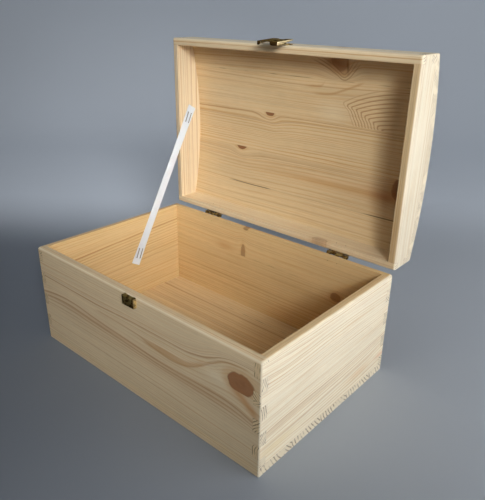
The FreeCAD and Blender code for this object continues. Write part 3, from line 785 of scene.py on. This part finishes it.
def wood_colours(bench, form, into, settings):
    """The colours between the rings, of a ring and of a strong ring, paled by each board's paleness and
    by painted light on the right outer faces and the lid front board's outer face.
    """
    x, _, z = bench.parts("SeparateXYZ", bench.coordinate("Object"))
    # Painted light: the right outer faces and the outer face of the lid's front board are painted paler,
    # a painted highlight where strong light falls. A board's paleness is partly its own tone and partly
    # painted light.
    right_side = bench.smooth(x, (PAINTED_LIGHT_FROM_X - 0.5) * MM, (PAINTED_LIGHT_FROM_X + 0.5) * MM)
    lid_front = bench.smooth(z, (RIM_FACE - 0.6) * MM, RIM_FACE * MM)
    paleness_and_painted_light = bench.most(right_side, lid_front, form["paleness"])
    # Painted light: the inner faces are painted warmer and more saturated, for the warm light bounced
    # round inside the chest.
    warmth = bench.smooth(into, *INNER_SIDE) * form["warmth"]
    pale = bench.mix(warmth, settings.pale, linear(226, 194, 134))
    return (bench.mix(paleness_and_painted_light * 0.75, pale, linear(245, 240, 222)),
            bench.mix(paleness_and_painted_light * 0.6, settings.tan, linear(216, 196, 154)),
            bench.mix(paleness_and_painted_light * 0.4, settings.dark, linear(202, 176, 132)))


def edge_wear_and_highlight(bench):
    """How far a face turns away from the board's flat sides, as its eased edges do: where the edges are
    painted pale, partly as wear and partly as a painted highlight.
    """
    normal = bench.vector("ABSOLUTE", bench.coordinate("Normal"))
    x, y, z = bench.parts("SeparateXYZ", normal)
    slant = bench.vector("DOT_PRODUCT", normal, bench.combine(y, z, x))
    return bench.smooth(slant, 0.35, 0.5)


def pine(name, form, settings):
    """A bare pine board's material, with its own rings, knots and glue lines."""
    bench = Bench(bpy.data.materials.new("pine_" + name))
    along, across, into = board_place(bench, form)
    face = bench.combine(along, across, into)
    along_share = along * (0.5 / form["half_length"]) + 0.5
    tone, heart, density, figure = strips(bench, form, across)

    # The ring coordinate: the place across the face, led along the traced rings and knots.
    rings = ring_level(bench, form, along_share, across)
    long_place = bench.vector("MULTIPLY_ADD", face, (0.006, 0.035, 0.035), (form["seed"],) * 3)
    rings += (bench.noise(long_place, 1.0, 1.5) - 0.5) * (4 * form["warp"])
    knots = []
    for along_at, across_at, long_radius, wide_radius, strength, core_size, *limits in form["knots"]:
        centre = along_at, across_at
        squared = spot_at(bench, face, centre, (long_radius, wide_radius))[1]
        around = spot_at(bench, face, centre, (long_radius * 2.0, wide_radius * 1.7))[0]
        rings += (across - across_at) * within(across, around, *limits) * -0.4
        knots.append((squared, within(across, strength, *limits), core_size))
    wobble = bench.stretched_noise(face, (0.035, 0.2, 0.2), 2.0)
    rings += (wobble - 0.5) * 0.8 + into * 1.3

    # Growth rings: slowly darker, then a sharp edge, each of its own strength.
    pace = rings / (settings.ring_spacing / MM) * density
    slow = bench.node("TexNoise", {"W": rings, "Scale": 0.06, "Detail": 1.0}, noise_dimensions="1D")
    pace += bench.out(slow) * 4.0
    ring = bench.wave(pace, (0.55, 0.0), (0.8, 0.75), (0.87, 1.0), (0.95, 0.0))
    chance = bench.out(bench.node("TexWhiteNoise", {"W": bench.math("FLOOR", pace)},
                                  noise_dimensions="1D"))
    flow = bench.combine(along, rings, into)
    band = bench.smooth(bench.stretched_noise(flow, (0.004, 0.045, 0.0)), 0.34, 0.66)
    on_face = ring * bench.math("MULTIPLY", (chance * 1.6 + 0.9) * figure, band * 0.75 + 0.35,
                                held=True)
    fade = bench.stretched_noise(face, (0.012, 0.05, 0.05)) * 1.3 + 0.35
    strong = bench.math("MULTIPLY", strong_lines(bench, form, rings), fade, held=True)
    for feather in form["feathers"]:
        strokes, cover = feathered(bench, feather, along, across, wobble)
        strong = bench.most(strong * (1.0 - cover), strokes * cover)
        on_face = on_face * (1.0 - cover)

    streak = bench.stretched_noise(flow, (0.006, 0.22, 0.22), 3.0, 0.6)
    hair = bench.smooth(bench.stretched_noise(flow, (0.009, 0.8, 0.5), 3.0, 0.55), 0.5, 0.7)
    fibre = bench.stretched_noise(face, (0.09, 2.2, 2.2), 2.0, 0.6)
    cloud = bench.stretched_noise(face, (0.012, 0.03, 0.03), 2.0)

    # The face's colour, from the rings and hairlines up to the patches, veins and knots.
    pale, tan, dark = wood_colours(bench, form, into, settings)
    colour = bench.mix(on_face, pale, tan)
    colour = bench.mix(hair * form["hair"], colour, tan)
    for along_at, across_at, long_reach, wide_reach, strength, tint, *limits in form["patches"]:
        spot = spot_at(bench, face, (along_at, across_at), (long_reach, wide_reach))[0]
        colour = bench.mix(within(across, spot * strength, *limits), colour, linear(*tint))
    colour = bench.mix(strong * 0.74, colour, dark)
    for points, width, strength, tint in form["veins"]:
        off = (across - traced(bench, form, along_share, points)) * (1 / width)
        start, end = points[0][0], points[-1][0]
        ends = bench.smooth(along, start, start + 16.0) * bench.smooth(along, end + 1.0, end - 8.0)
        colour = bench.mix(bench.bell(off * off) * ends * strength, colour, linear(*tint))
    for squared, inside, core_size in knots:
        off = ragged(bench, face) * 0.8 + squared
        wood = bench.mix(bench.smooth((streak + off) * 0.9, 0.6 * core_size, 1.5 * core_size),
                         settings.knot_rim, settings.knot)
        wood = bench.mix(bench.smooth(into, *INNER_SIDE) * 0.6, wood, linear(140, 88, 46))
        rim = bench.smooth(abs(off - 0.98), 0.22, 0.0) * bench.smooth(cloud, 0.35, 0.6)
        colour = bench.mix(bench.smooth(off, 3.2, 1.0) * inside * 0.4, colour, settings.tan)
        colour = bench.mix(bench.smooth(off, 1.3, 0.8) * inside * 0.92, colour, wood)
        colour = bench.mix(rim * inside * 0.5, colour, settings.knot_rim)
    facing = bench.parts("SeparateXYZ", bench.coordinate("Normal"))["XYZ".index(form["grain"][0])]
    cut = bench.mix(end_arcs(bench, form, face, across, into, heart) * form["end_ink"],
                    bench.mix(0.3, pale, linear(222, 202, 168)), linear(92, 62, 36))
    colour = bench.mix(bench.smooth(abs(facing), 0.6, 0.9), colour, cut)

    # Board tone, streaks, fibres and clouds multiply the colour.
    level = tone * 0.3 + 0.85
    for wave, strength in ((streak, 0.18), (fibre, 0.26), (cloud, 0.14)):
        level = level * (wave * strength + (1 - strength / 2))
    colour = bench.mix(1.0, colour, bench.combine(level, level, level), "MULTIPLY")
    # Pale eased edges: partly wear, partly a painted highlight.
    colour = bench.mix(edge_wear_and_highlight(bench) * 0.6, colour, linear(250, 238, 210))

    mark = bench.most(figure < 0.01, *joint_lines(bench, form, along, across))
    gaps = bench.stretched_noise(face, (0.05, 0.3, 0.3))
    mark = mark * bench.smooth(gaps, 0.4, 0.72)
    bench.bump(fibre * 0.6 - mark * 1.5 - ring * 0.3, 0.12 * MM, 0.5)
    return bench.finish(Base_Color=bench.mix(mark * 0.62, colour, settings.joint),
                        Specular_IOR_Level=0.25, Roughness=streak * 0.16 + 0.52)


class CHEST_OT_boards(bpy.types.Operator):
    """Gives every board its own bare pine, with the rings and knots it shows"""
    bl_idname = "chest.boards"
    bl_label = "Finish boards"
    bl_options = {"REGISTER", "UNDO"}

    def execute(self, context):
        for name, form in BOARDS.items():
            finish_node(name, pine(name, form, context.scene.chest_pine))
        return {"FINISHED"}


# ---------------------------------------------------------------- brass

def brass(name, settings, age, roughness, painted_side_light=0.0, painted_front_shade=0.0, grooves=None):
    """Pressed, plated brass with random patches of patina, painted shade on the faces that face -Y and a
    painted highlight on the sides that face +X.

    grooves are the lean and spacing in millimetres of dark lines painted on those +X sides, as painted
    shade between pressed ribs.
    """
    bench = Bench(bpy.data.materials.new(name))
    place = bench.coordinate("Object")
    patches = bench.noise(place, 260.0, 2.0, 0.6)
    grit = bench.noise(place, 2600.0, 2.0, 0.6)
    x, y, _ = bench.parts("SeparateXYZ", bench.coordinate("Normal"))
    # Painted light and shade: sides facing +X get a painted highlight, faces facing -Y painted shade.
    side, front = bench.smooth(x, 0.5, 0.9), bench.smooth(y, -0.5, -0.9)
    patina_and_shade = bench.smooth(patches, 0.42, 0.58) * 0.7 + age + front * painted_front_shade
    bright = bench.mix(side * painted_side_light, settings.bright, settings.painted_side_highlight)
    colour = bench.mix(bench.math("SUBTRACT", patina_and_shade, side * painted_side_light, held=True), bright,
                       settings.patina_and_shade)
    if grooves:
        lean, spacing = grooves
        # Painted shade: dark lines between the pressed ribs on the sides facing +X.
        drop = bench.vector("DOT_PRODUCT", place, (0, lean / spacing / MM, -1 / spacing / MM))
        groove_shade = bench.wave(drop, (0.5, 0.0), (0.65, 1.0), (0.85, 1.0), (1.0, 0.0))
        colour = bench.mix(groove_shade * side * 0.8, colour, settings.patina_and_shade)
    bench.bump(grit, 0.02 * MM, 0.35)
    return bench.finish(Base_Color=colour, Metallic=1.0, Specular_Tint=colour,
                        Roughness=grit * 0.2 + roughness)


class CHEST_OT_hinges(bpy.types.Operator):
    """Finishes the two hinges, their pins and every brass nail"""
    bl_idname = "chest.hinges"
    bl_label = "Finish hinges and nails"
    bl_options = {"REGISTER", "UNDO"}

    def execute(self, context):
        plated = brass("hinge_brass", context.scene.chest_brass, age=0.25, roughness=0.28)
        for side in ("left", "right"):
            for part in ("hinge_base_leaf_", "hinge_lid_leaf_", "hinge_pin_"):
                finish_node(part + side, plated)
        bright = brass("nail_brass", context.scene.chest_brass, age=0.1, roughness=0.24)
        for name in ("hinge_nails_base", "hinge_nails_lid", "catch_plate_nails"):
            finish_node(name, bright)
        return {"FINISHED"}


# ---------------------------------------------------------------- keeper

# Sizes and heights in millimetres.
KEEPER_SHEET = 0.6
KEEPER_TOP = 107.0
KEEPER_FLANGE = 3.1
KEEPER_EAR = 0.7
KEEPER_WALL = 0.5
PRONG_PLAY = 0.05
PRONG_HEIGHTS = (101.8, 103.2)


class CHEST_OT_keeper(bpy.types.Operator):
    """Models the keeper on the base's front: a pressed channel with two ears and prongs"""
    bl_idname = "chest.keeper"
    bl_label = "Model keeper"
    bl_options = {"REGISTER", "UNDO"}

    def execute(self, context):
        low, high = node_span("catch_keeper")
        wall_y = node_span("base_front_board")[0].y
        channel = new_block("catch_keeper_channel", low, (high.x, wall_y, KEEPER_TOP))
        with shaping(channel):
            pick(channel, "faces", lambda at, face: face.normal.z < -0.9 or face.normal.y > 0.9)
            bpy.ops.mesh.delete(type="FACE")
        with shaping(channel, "EDGE"):
            pick(channel, "edges", lambda at, edge: abs(at.y - wall_y) < 0.01
                 and at.z < KEEPER_TOP - 1)
            bpy.ops.mesh.extrude_edges_move()
            bpy.ops.transform.resize(value=(1 - 2 * KEEPER_FLANGE / (high.x - low.x), 1, 1),
                                     center_override=((low.x + high.x) / 2 * MM, 0, 0))
        with shaping(channel, "EDGE"):
            pick(channel, "edges", lambda at, edge: abs(at.z - KEEPER_TOP) < 0.01
                 and abs(at.y - wall_y) < 0.01 and len(edge.link_faces) == 1
                 and edge.calc_length() < 5 * MM)
            extrude_edges(0, KEEPER_EAR)
        with shaping(channel):
            bpy.ops.mesh.select_all(action="SELECT")
            bpy.ops.mesh.normals_make_consistent(inside=False)
        thicken(channel, KEEPER_WALL)
        ease_edges(channel, 0.22, 3)
        shade(channel)
        pieces = [channel]
        for side in (low.x, high.x - KEEPER_SHEET):
            prong = new_block("prong", (side + PRONG_PLAY, wall_y - KEEPER_SHEET, PRONG_HEIGHTS[0]),
                              (side + KEEPER_SHEET - PRONG_PLAY, high.y, PRONG_HEIGHTS[1]))
            ease_edges(prong, 0.1, 1)
            pieces.append(prong)
        # The keeper's sides facing +X get a painted highlight.
        plated = brass("catch_brass_keeper", context.scene.chest_brass, age=0.42, roughness=0.3,
                       painted_side_light=0.55)
        dress(merge("keeper", pieces), plated, "base", "catch_brass", "catch_keeper")
        return {"FINISHED"}


# ---------------------------------------------------------------- hasp

# Sizes in millimetres; the ribs rise and shorten by shares of their height.
HASP_HEIGHT = 5.5
HASP_FALL = 1.5
HASP_RUN = 23.1
FLANGE_DROP = 5.0
TAIL_DEPTH = 1.1
FOOT_GAP = 0.4
LEFT_FOOT, RIGHT_FOOT = 4.0, 9.5
FOOT_ROUND = 2.4
SLOT_HALF = 4.2
SLOT_LENGTH = 2.8
KNUCKLE_HALF = 1.6
KNUCKLE_RADIUS, KNUCKLE_WALL = 1.2, 0.6
WEB_HALF, WEB_FOOT, WEB_TOP = 1.15, 0.75, 0.2
RIB_HEIGHTS = (0.9, 1.75, 2.6)
RIB_START, RIB_END = 0.6, 19.0
RIB_SHORTENING = 2.6
RIB_RISE = 0.62
RIB_SIZE = 0.42
RIB_SUNK, RIB_PROUD = 0.25, 0.18
LEFT_RIBS_IN = 0.07
RIB_GROOVES = (0.065, 1.5)


class CHEST_OT_hasp(bpy.types.Operator):
    """Models the hasp: a pressed cap with ribbed flanges, two rounded feet and two knuckles"""
    bl_idname = "chest.hasp"
    bl_label = "Model hasp"
    bl_options = {"REGISTER", "UNDO"}

    def execute(self, context):
        low, high = node_span("catch_hasp")
        pivot = Vector(next(joint["pos_m"] for joint in frame["record"]["behaviour"]["joints"]
                            if joint["name"] == "hasp_pivot")) / MM
        middle = (low.x + high.x) / 2
        parts = [self.cap(low, high, pivot, middle, context.scene.chest_brass.sheet / MM)]
        for side in (-1, 1):
            knuckle = Vector((middle + side * (SLOT_HALF + KNUCKLE_HALF), pivot.y, pivot.z))
            parts.append(new_tube("hasp_knuckle", knuckle, (1, 0, 0), KNUCKLE_RADIUS,
                                  KNUCKLE_WALL, 2 * KNUCKLE_HALF))
            web = new_block("hasp_web", knuckle + Vector((-KNUCKLE_HALF, -WEB_HALF, WEB_FOOT)),
                            (knuckle.x + KNUCKLE_HALF, pivot.y + WEB_HALF,
                             self.top_at(pivot.y, pivot) - WEB_TOP))
            ease_edges(web, 0.15, 1)
            parts.append(web)
            parts += [self.rib(low, high, side, height) for height in RIB_HEIGHTS]
        piece = merge("hasp", parts)
        shade(piece)
        # The hasp's sides facing +X get a painted highlight and painted shade lines between the ribs;
        # its faces facing -Y get painted shade.
        plated = brass("catch_brass_hasp", context.scene.chest_brass, age=0.3, roughness=0.3,
                       painted_side_light=0.85, painted_front_shade=0.6, grooves=RIB_GROOVES)
        dress(piece, plated, "hasp", "catch_brass", "catch_hasp")
        return {"FINISHED"}

    @staticmethod
    def top_at(y, pivot):
        """The height of the cap's slightly falling top."""
        return RIM_FACE + HASP_HEIGHT - HASP_FALL * (pivot.y - y) / HASP_RUN

    @classmethod
    def cap(cls, low, high, pivot, middle, sheet):
        """The pressed cap: a slotted top, its two flanges and their feet."""
        slot_y, under_top = pivot.y - SLOT_LENGTH, RIM_FACE + HASP_HEIGHT - 0.1
        cap = new_sheet("hasp_cap", (low.x, low.y), (high.x, high.y), RIM_FACE + HASP_HEIGHT)
        with shaping(cap):
            for place, normal in (((middle - SLOT_HALF, 0, 0), (1, 0, 0)),
                                  ((middle + SLOT_HALF, 0, 0), (1, 0, 0)),
                                  ((0, slot_y, 0), (0, 1, 0))):
                bpy.ops.mesh.select_all(action="SELECT")
                bpy.ops.mesh.bisect(plane_co=Vector(place) * MM, plane_no=normal)
            pick(cap, "faces", lambda at, face: abs(at.x - middle) < SLOT_HALF and at.y > slot_y)
            bpy.ops.mesh.delete(type="FACE")
        with shaping(cap, "EDGE"):
            pick(cap, "edges", lambda at, edge: min(at.x - low.x, high.x - at.x) < 0.01)
            extrude_edges(0, -FLANGE_DROP)
        for outer, width in ((low.x, LEFT_FOOT), (high.x, -RIGHT_FOOT)):
            with shaping(cap, "EDGE"):
                pick(cap, "edges", lambda at, edge: at.y < low.y + 0.01 and at.z < under_top
                     and abs(at.x - outer) < 0.01)
                extrude_edges(width, 0)
        foot, tail = RIM_FACE + FOOT_GAP, cls.top_at(high.y, pivot) - TAIL_DEPTH
        for vertex in cap.data.vertices:
            at = vertex.co / MM
            lower = foot + (tail - foot) * (at.y - low.y) / (high.y - low.y)
            vertex.co.z = (cls.top_at(at.y, pivot) if at.z > under_top else lower) * MM
        with shaping(cap):
            bpy.ops.mesh.select_all(action="SELECT")
            bpy.ops.mesh.remove_doubles(threshold=0.01 * MM)
            bpy.ops.mesh.normals_make_consistent(inside=False)
        with shaping(cap, "VERT"):
            pick(cap, "verts", lambda at, vertex: at.y < low.y + 0.01 and at.z < RIM_FACE + 1
                 and 3 < high.x - at.x < 21)
            bpy.ops.mesh.bevel(offset=FOOT_ROUND * MM, segments=5, affect="VERTICES")
        if sum(face.normal.z for face in cap.data.polygons) < 0:
            with shaping(cap):
                bpy.ops.mesh.select_all(action="SELECT")
                bpy.ops.mesh.flip_normals()
        thicken(cap, sheet)
        ease_edges(cap, 0.35, 3)
        shade(cap)
        return cap

    @staticmethod
    def rib(low, high, side, height):
        """A pressed rib along a flange, at a height over the lid's face."""
        outer = high.x if side > 0 else low.x + LEFT_RIBS_IN
        start, end = low.y + RIB_START, low.y + RIB_END - height * RIB_SHORTENING
        rib = new_block("hasp_rib", (outer - RIB_SUNK, start, RIM_FACE + height),
                        (outer + RIB_PROUD, end, RIM_FACE + height + RIB_SIZE))
        with shaping(rib, "VERT"):
            pick(rib, "verts", lambda at, vertex: at.y > (start + end) / 2)
            bpy.ops.transform.translate(value=(0, 0, height * RIB_RISE * MM))
        ease_edges(rib, 0.15, 2)
        return rib


class CHEST_OT_plate(bpy.types.Operator):
    """Finishes the plate and pin that carry the hasp"""
    bl_idname = "chest.plate"
    bl_label = "Finish catch plate"
    bl_options = {"REGISTER", "UNDO"}

    def execute(self, context):
        plated = brass("catch_brass_plate", context.scene.chest_brass, age=0.4, roughness=0.28)
        for name in ("catch_plate", "catch_pin"):
            finish_node(name, plated)
        return {"FINISHED"}


# ---------------------------------------------------------------- ribbon and staples

# Places and sizes in millimetres, threads across the whole tape, and turns in degrees.
RIBBON_LOW = Vector((-142.2, 19.8, 50.5))
RIBBON_HIGH = Vector((-142.2, 119.35, 225.45))
PINCH_REACH = 7.0
FLARE_REACH = 26.0
WEFT_THREADS = 330
WARP_THREADS = 22
STAPLE_INSET = 14.0
STAPLE_SPACING = 5.0
STAPLE_CROWN = 12.5
STAPLE_LEG = 6.0
STAPLE_FACE = -141.95
STAPLE_TURNS = {"base": 5.0, "lid": 4.0}


def tape(settings):
    """White woven tape: fine ribs across it and a firmer edge."""
    bench = Bench(bpy.data.materials.new("white_ribbon"))
    place = bench.coordinate("UV")
    across, along, _ = bench.parts("SeparateXYZ", place)
    weave = (bench.math("SINE", along * (2 * math.pi * WEFT_THREADS))
             * bench.math("SINE", across * (2 * math.pi * WARP_THREADS)))
    edge = bench.smooth(abs(across - 0.5), 0.4, 0.46)
    colour = bench.mix(bench.math("MULTIPLY_ADD", weave, 0.5, 0.5, held=True), settings.colour,
                       linear(228, 238, 250))
    colour = bench.mix(bench.noise(place, 14.0, 3.0) * 0.2, colour, linear(216, 224, 244))
    colour = bench.mix(edge * 0.4, colour, linear(236, 242, 248))
    bench.bump(edge * 0.8 + weave, 0.05 * MM, 0.6)
    return bench.finish(Base_Color=colour, Roughness=0.72, Specular_IOR_Level=0.3,
                        Sheen_Weight=0.25, Sheen_Roughness=0.4)


class CHEST_OT_ribbon(bpy.types.Operator):
    """Models the taut ribbon stay, pinched a little by its staples"""
    bl_idname = "chest.ribbon"
    bl_label = "Model ribbon stay"
    bl_options = {"REGISTER", "UNDO"}

    def execute(self, context):
        settings = context.scene.chest_ribbon
        run = RIBBON_HIGH - RIBBON_LOW
        length, width = run.length, settings.width / MM
        ribbon = new_piece("ribbon_tape", bpy.ops.mesh.primitive_grid_add, x_subdivisions=10,
                           y_subdivisions=200, size=1.0)
        along = run.normalized()
        across = Vector((1, 0, 0)).cross(along)
        layer = ribbon.data.uv_layers.active or ribbon.data.uv_layers.new(name="tape")
        for loop in ribbon.data.loops:
            at = ribbon.data.vertices[loop.vertex_index].co
            layer.data[loop.index].uv = (at.x + 0.5, at.y + 0.5)
        for vertex in ribbon.data.vertices:
            side, share = vertex.co.x, vertex.co.y + 0.5
            place = share * length
            from_end = min(place, length - place)
            pinch = math.exp(-((from_end - STAPLE_INSET) / PINCH_REACH) ** 2)
            curl = 0.05 * math.cos(side * 2 * math.pi) * (1 - pinch) + 0.02 * math.sin(place / 9)
            narrow = 1 + 0.2 * math.exp(-(from_end / FLARE_REACH) ** 2) - 0.02 * pinch
            point = RIBBON_LOW + along * place + across * (side * width * narrow)
            point.x += curl - 0.05 * pinch
            vertex.co = point * MM
        ribbon.data.update()
        thicken(ribbon, settings.thickness / MM * 0.8, offset=0)
        shade(ribbon, 50)
        dress(ribbon, tape(settings), None, "white_ribbon", "ribbon_stay")
        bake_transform(ribbon)
        return {"FINISHED"}


def wire():
    """Bright drawn steel wire."""
    bench = Bench(bpy.data.materials.new("staple_steel"))
    scratches = bench.noise(bench.coordinate("Object"), 1800.0, 3.0)
    bench.bump(scratches, 0.01 * MM, 0.3)
    return bench.finish(Metallic=1.0, Roughness=scratches * 0.2 + 0.28, Base_Color=bench.mix(
        scratches, linear(190, 191, 195), linear(120, 121, 126)))


class CHEST_OT_staples(bpy.types.Operator):
    """Models the staples through the ribbon's ends, two at each end"""
    bl_idname = "chest.staples"
    bl_label = "Model staples"
    bl_options = {"REGISTER", "UNDO"}

    def execute(self, context):
        steel = wire()
        along = (RIBBON_HIGH - RIBBON_LOW).normalized()
        ends = {"base": (RIBBON_LOW, along), "lid": (RIBBON_HIGH, -along)}
        for body, (end, inward) in ends.items():
            pair = [self.staple(end, inward, STAPLE_TURNS[body], side) for side in (-1, 1)]
            piece = merge("staple_pair_" + body, pair)
            dress(piece, steel, body, "staple_steel", "staples_" + body)
        return {"FINISHED"}

    @staticmethod
    def staple(end, inward, turn, side):
        """One staple: a flat wire bent down at both ends into two legs."""
        half, wide, thick = STAPLE_CROWN / 2, 1.1, 0.6
        piece = new_block("staple", (0, -half, -wide / 2), (thick, half, wide / 2))
        with shaping(piece):
            for place in (-half + thick, half - thick):
                bpy.ops.mesh.select_all(action="SELECT")
                bpy.ops.mesh.bisect(plane_co=(0, place * MM, 0), plane_no=(0, 1, 0))
            pick(piece, "faces", lambda at, face: face.normal.x < -0.9
                 and abs(at.y) > half - thick)
            bpy.ops.mesh.extrude_faces_move(
                TRANSFORM_OT_shrink_fatten={"value": STAPLE_LEG * MM})
        ease_edges(piece, 0.16, 2)
        shade(piece)
        lean = Matrix.Rotation(math.radians(turn), 3, "X") @ inward
        over = Vector((1, 0, 0)).cross(lean)
        base = end + inward * STAPLE_INSET + over * (side * STAPLE_SPACING / 2)
        base.x = STAPLE_FACE
        frame_turn = Matrix((Vector((1, 0, 0)), lean, over)).transposed().to_4x4()
        piece.matrix_world = Matrix.Translation(base * MM) @ frame_turn
        settle(piece)
        return piece


# ---------------------------------------------------------------- studio

# The camera stands to the right of the front and looks down; places and sizes in metres.
HEADING = math.radians(41.142)
LOOK_DOWN = math.radians(23.879)
CAMERA_ROLL = math.radians(0.815)
CAMERA_PLACE = (0.3525, -0.3513, 0.3388)
DAYLIGHT = (1.0, 0.985, 0.97)
FLOOR_SIZE = (9.0, 5.6, 1.0)
BACKDROP_FROM = 1.5
BACKDROP_HEIGHT = 3.0
BACKDROP_CURVE = 0.7
# Each lamp's name, place, target and size in metres, and its spread in degrees.
LAMPS = (("window", (0.95, 0.32, 0.33), (0.0, 0.18, 0.10), (1.0, 0.6), 180.0),
         ("lid", (0.72, -0.46, 0.61), (-0.06, 0.07, 0.22), (0.28, 0.28), 34.0),
         ("front", (0.66, -0.66, 0.22), (-0.15, -0.10, 0.0), (0.22, 0.22), 36.0))


def area_lamp(name, place, target, size, power, spread):
    """A rectangular soft lamp that faces a target, with a grid that narrows its spread."""
    lamp = bpy.data.lights.new(name, "AREA")
    lamp.shape = "RECTANGLE"
    lamp.size, lamp.size_y = size
    lamp.energy = power
    lamp.color = DAYLIGHT
    lamp.spread = math.radians(spread)
    holder = bpy.data.objects.new(name, lamp)
    holder.location = place
    holder.rotation_euler = (Vector(target) - Vector(place)).to_track_quat("-Z", "Y").to_euler()
    bpy.context.scene.collection.objects.link(holder)


def seen_strength(bench, lighting, seen):
    """One strength for light on the chest, another for what the camera or a gloss sees."""
    path = bench.node("LightPath")
    total = bench.out(path, "Is Camera Ray")
    for ray in ("Is Glossy Ray", "Is Transmission Ray"):
        total = bench.math("ADD", total, bench.out(path, ray), held=True)
    return total * (seen - lighting) + lighting


def paper(settings, back, aside):
    """Matt paper, paler at the back, painted paler towards the right as painted light, and lifted where
    it is seen, more towards the right as painted light too.
    """
    bench = Bench(bpy.data.materials.new("studio_paper"))
    place = bench.coordinate("Object")
    mottle = bench.noise(place, 2.2, 3.0)
    away = bench.vector("DOT_PRODUCT", place, tuple(back))
    across = bench.vector("DOT_PRODUCT", place, tuple(aside))
    far = bench.smooth(mottle * 0.1 + away, 0.30, 0.58)
    # Painted light: the paper turns paler towards the right, where the lamps' light falls.
    painted_light_right = bench.smooth(mottle * 0.2 + across, -0.1, 0.6)
    colour = bench.mix(bench.most(far, painted_light_right), settings.floor, settings.backdrop)
    colour = bench.mix(mottle * 0.12, colour, (0.2, 0.2, 0.2))
    # Where it is seen, the far paper glows, more towards the right as painted light.
    glow = seen_strength(bench, 0.0, settings.paper_glow) * bench.span(across, -0.9, 1.0, 0.7, 1.5)
    return bench.finish(Base_Color=colour, Roughness=0.85, Specular_IOR_Level=0.15,
                        Emission_Color=opaque(settings.backdrop), Emission_Strength=far * glow)


class CHEST_OT_studio(bpy.types.Operator):
    """Sets up the floor, its curved backdrop, the lamps and the camera"""
    bl_idname = "chest.studio"
    bl_label = "Set up studio"
    bl_options = {"REGISTER", "UNDO"}

    def execute(self, context):
        settings = context.scene.chest_studio
        self.sweep(settings)
        for name, place, target, size, spread in LAMPS:
            power = getattr(settings, name + "_power")
            area_lamp(name + "_lamp", place, target, size, power, spread)
        bench = Bench(bpy.data.worlds.new("room"))
        strength = seen_strength(bench, settings.room_light, settings.room_seen)
        context.scene.world = bench.finish("Background", Color=(1.0, 0.97, 0.93, 1.0),
                                           Strength=strength)
        context.scene.view_settings.view_transform = "Standard"
        self.camera(context, settings)
        return {"FINISHED"}

    @staticmethod
    def sweep(settings):
        """One sheet of floor that curves up into a backdrop behind the chest."""
        floor = new_piece("studio_floor", bpy.ops.mesh.primitive_plane_add, size=1.0)
        floor.scale = FLOOR_SIZE
        settle(floor)
        turn = Matrix.Rotation(HEADING, 3, "Z")
        back, aside = turn @ Vector((0, 1, 0)), turn @ Vector((1, 0, 0))
        with shaping(floor, "EDGE"):
            bpy.ops.mesh.select_all(action="SELECT")
            bpy.ops.transform.translate(value=(0, -1.2, 0))
            bpy.ops.transform.rotate(value=-HEADING, orient_axis="Z", center_override=(0, 0, 0))
        with shaping(floor, "EDGE"):
            pick(floor, "edges", lambda at, edge: (at * MM).dot(back) > BACKDROP_FROM)
            bpy.ops.mesh.extrude_edges_move(
                TRANSFORM_OT_translate={"value": (0, 0, BACKDROP_HEIGHT)})
        with shaping(floor, "EDGE"):
            pick(floor, "edges", lambda at, edge: (at * MM).dot(back) > BACKDROP_FROM and at.z < 1)
            bpy.ops.mesh.bevel(offset=BACKDROP_CURVE, segments=16, affect="EDGES")
        shade(floor, 60)
        floor.data.materials.append(paper(settings, back, aside))

    @staticmethod
    def camera(context, settings):
        lens = bpy.data.cameras.new("chest_camera")
        lens.sensor_fit, lens.sensor_width = "HORIZONTAL", 36.0
        lens.lens = settings.lens
        lens.clip_start, lens.clip_end = 0.01, 50.0
        camera = bpy.data.objects.new("chest_camera", lens)
        turn = (Matrix.Rotation(HEADING, 4, "Z")
                @ Matrix.Rotation(math.radians(90.0) - LOOK_DOWN, 4, "X")
                @ Matrix.Rotation(CAMERA_ROLL, 4, "Z"))
        camera.matrix_world = Matrix.Translation(CAMERA_PLACE) @ turn
        context.scene.collection.objects.link(camera)
        context.scene.camera = camera


# ---------------------------------------------------------------- panel and registration

class CHEST_PT_panel(bpy.types.Panel):
    """Sizes, colours and steps of the pine chest"""
    bl_label = "Pine Chest"
    bl_idname = "CHEST_PT_panel"
    bl_space_type = "VIEW_3D"
    bl_region_type = "UI"
    bl_category = "Pine Chest"

    def draw(self, context):
        for group in GROUPS:
            box = self.layout.box()
            box.label(text=group.title())
            settings = getattr(context.scene, "chest_" + group)
            for key in settings.__annotations__:
                box.prop(settings, key)
        for operator in OPERATORS:
            self.layout.operator(operator.bl_idname)


GROUPS = {"pine": PineSettings, "brass": BrassSettings, "ribbon": RibbonSettings,
          "studio": StudioSettings}
OPERATORS = (CHEST_OT_studio, CHEST_OT_boards, CHEST_OT_hinges, CHEST_OT_keeper, CHEST_OT_hasp,
             CHEST_OT_plate, CHEST_OT_ribbon, CHEST_OT_staples)
CLASSES = (*GROUPS.values(), *OPERATORS, CHEST_PT_panel)


def register():
    for item in CLASSES:
        bpy.utils.register_class(item)
    for name, group in GROUPS.items():
        setattr(bpy.types.Scene, "chest_" + name, bpy.props.PointerProperty(type=group))


def unregister():
    for name in GROUPS:
        delattr(bpy.types.Scene, "chest_" + name)
    for item in reversed(CLASSES):
        bpy.utils.unregister_class(item)


def main():
    """Registers the add-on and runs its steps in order."""
    register()
    for operator in OPERATORS:
        group, name = operator.bl_idname.split(".")
        if getattr(getattr(bpy.ops, group), name)() != {"FINISHED"}:
            raise RuntimeError("step " + operator.bl_idname + " didn't finish")


if __name__ == "__main__":
    main()
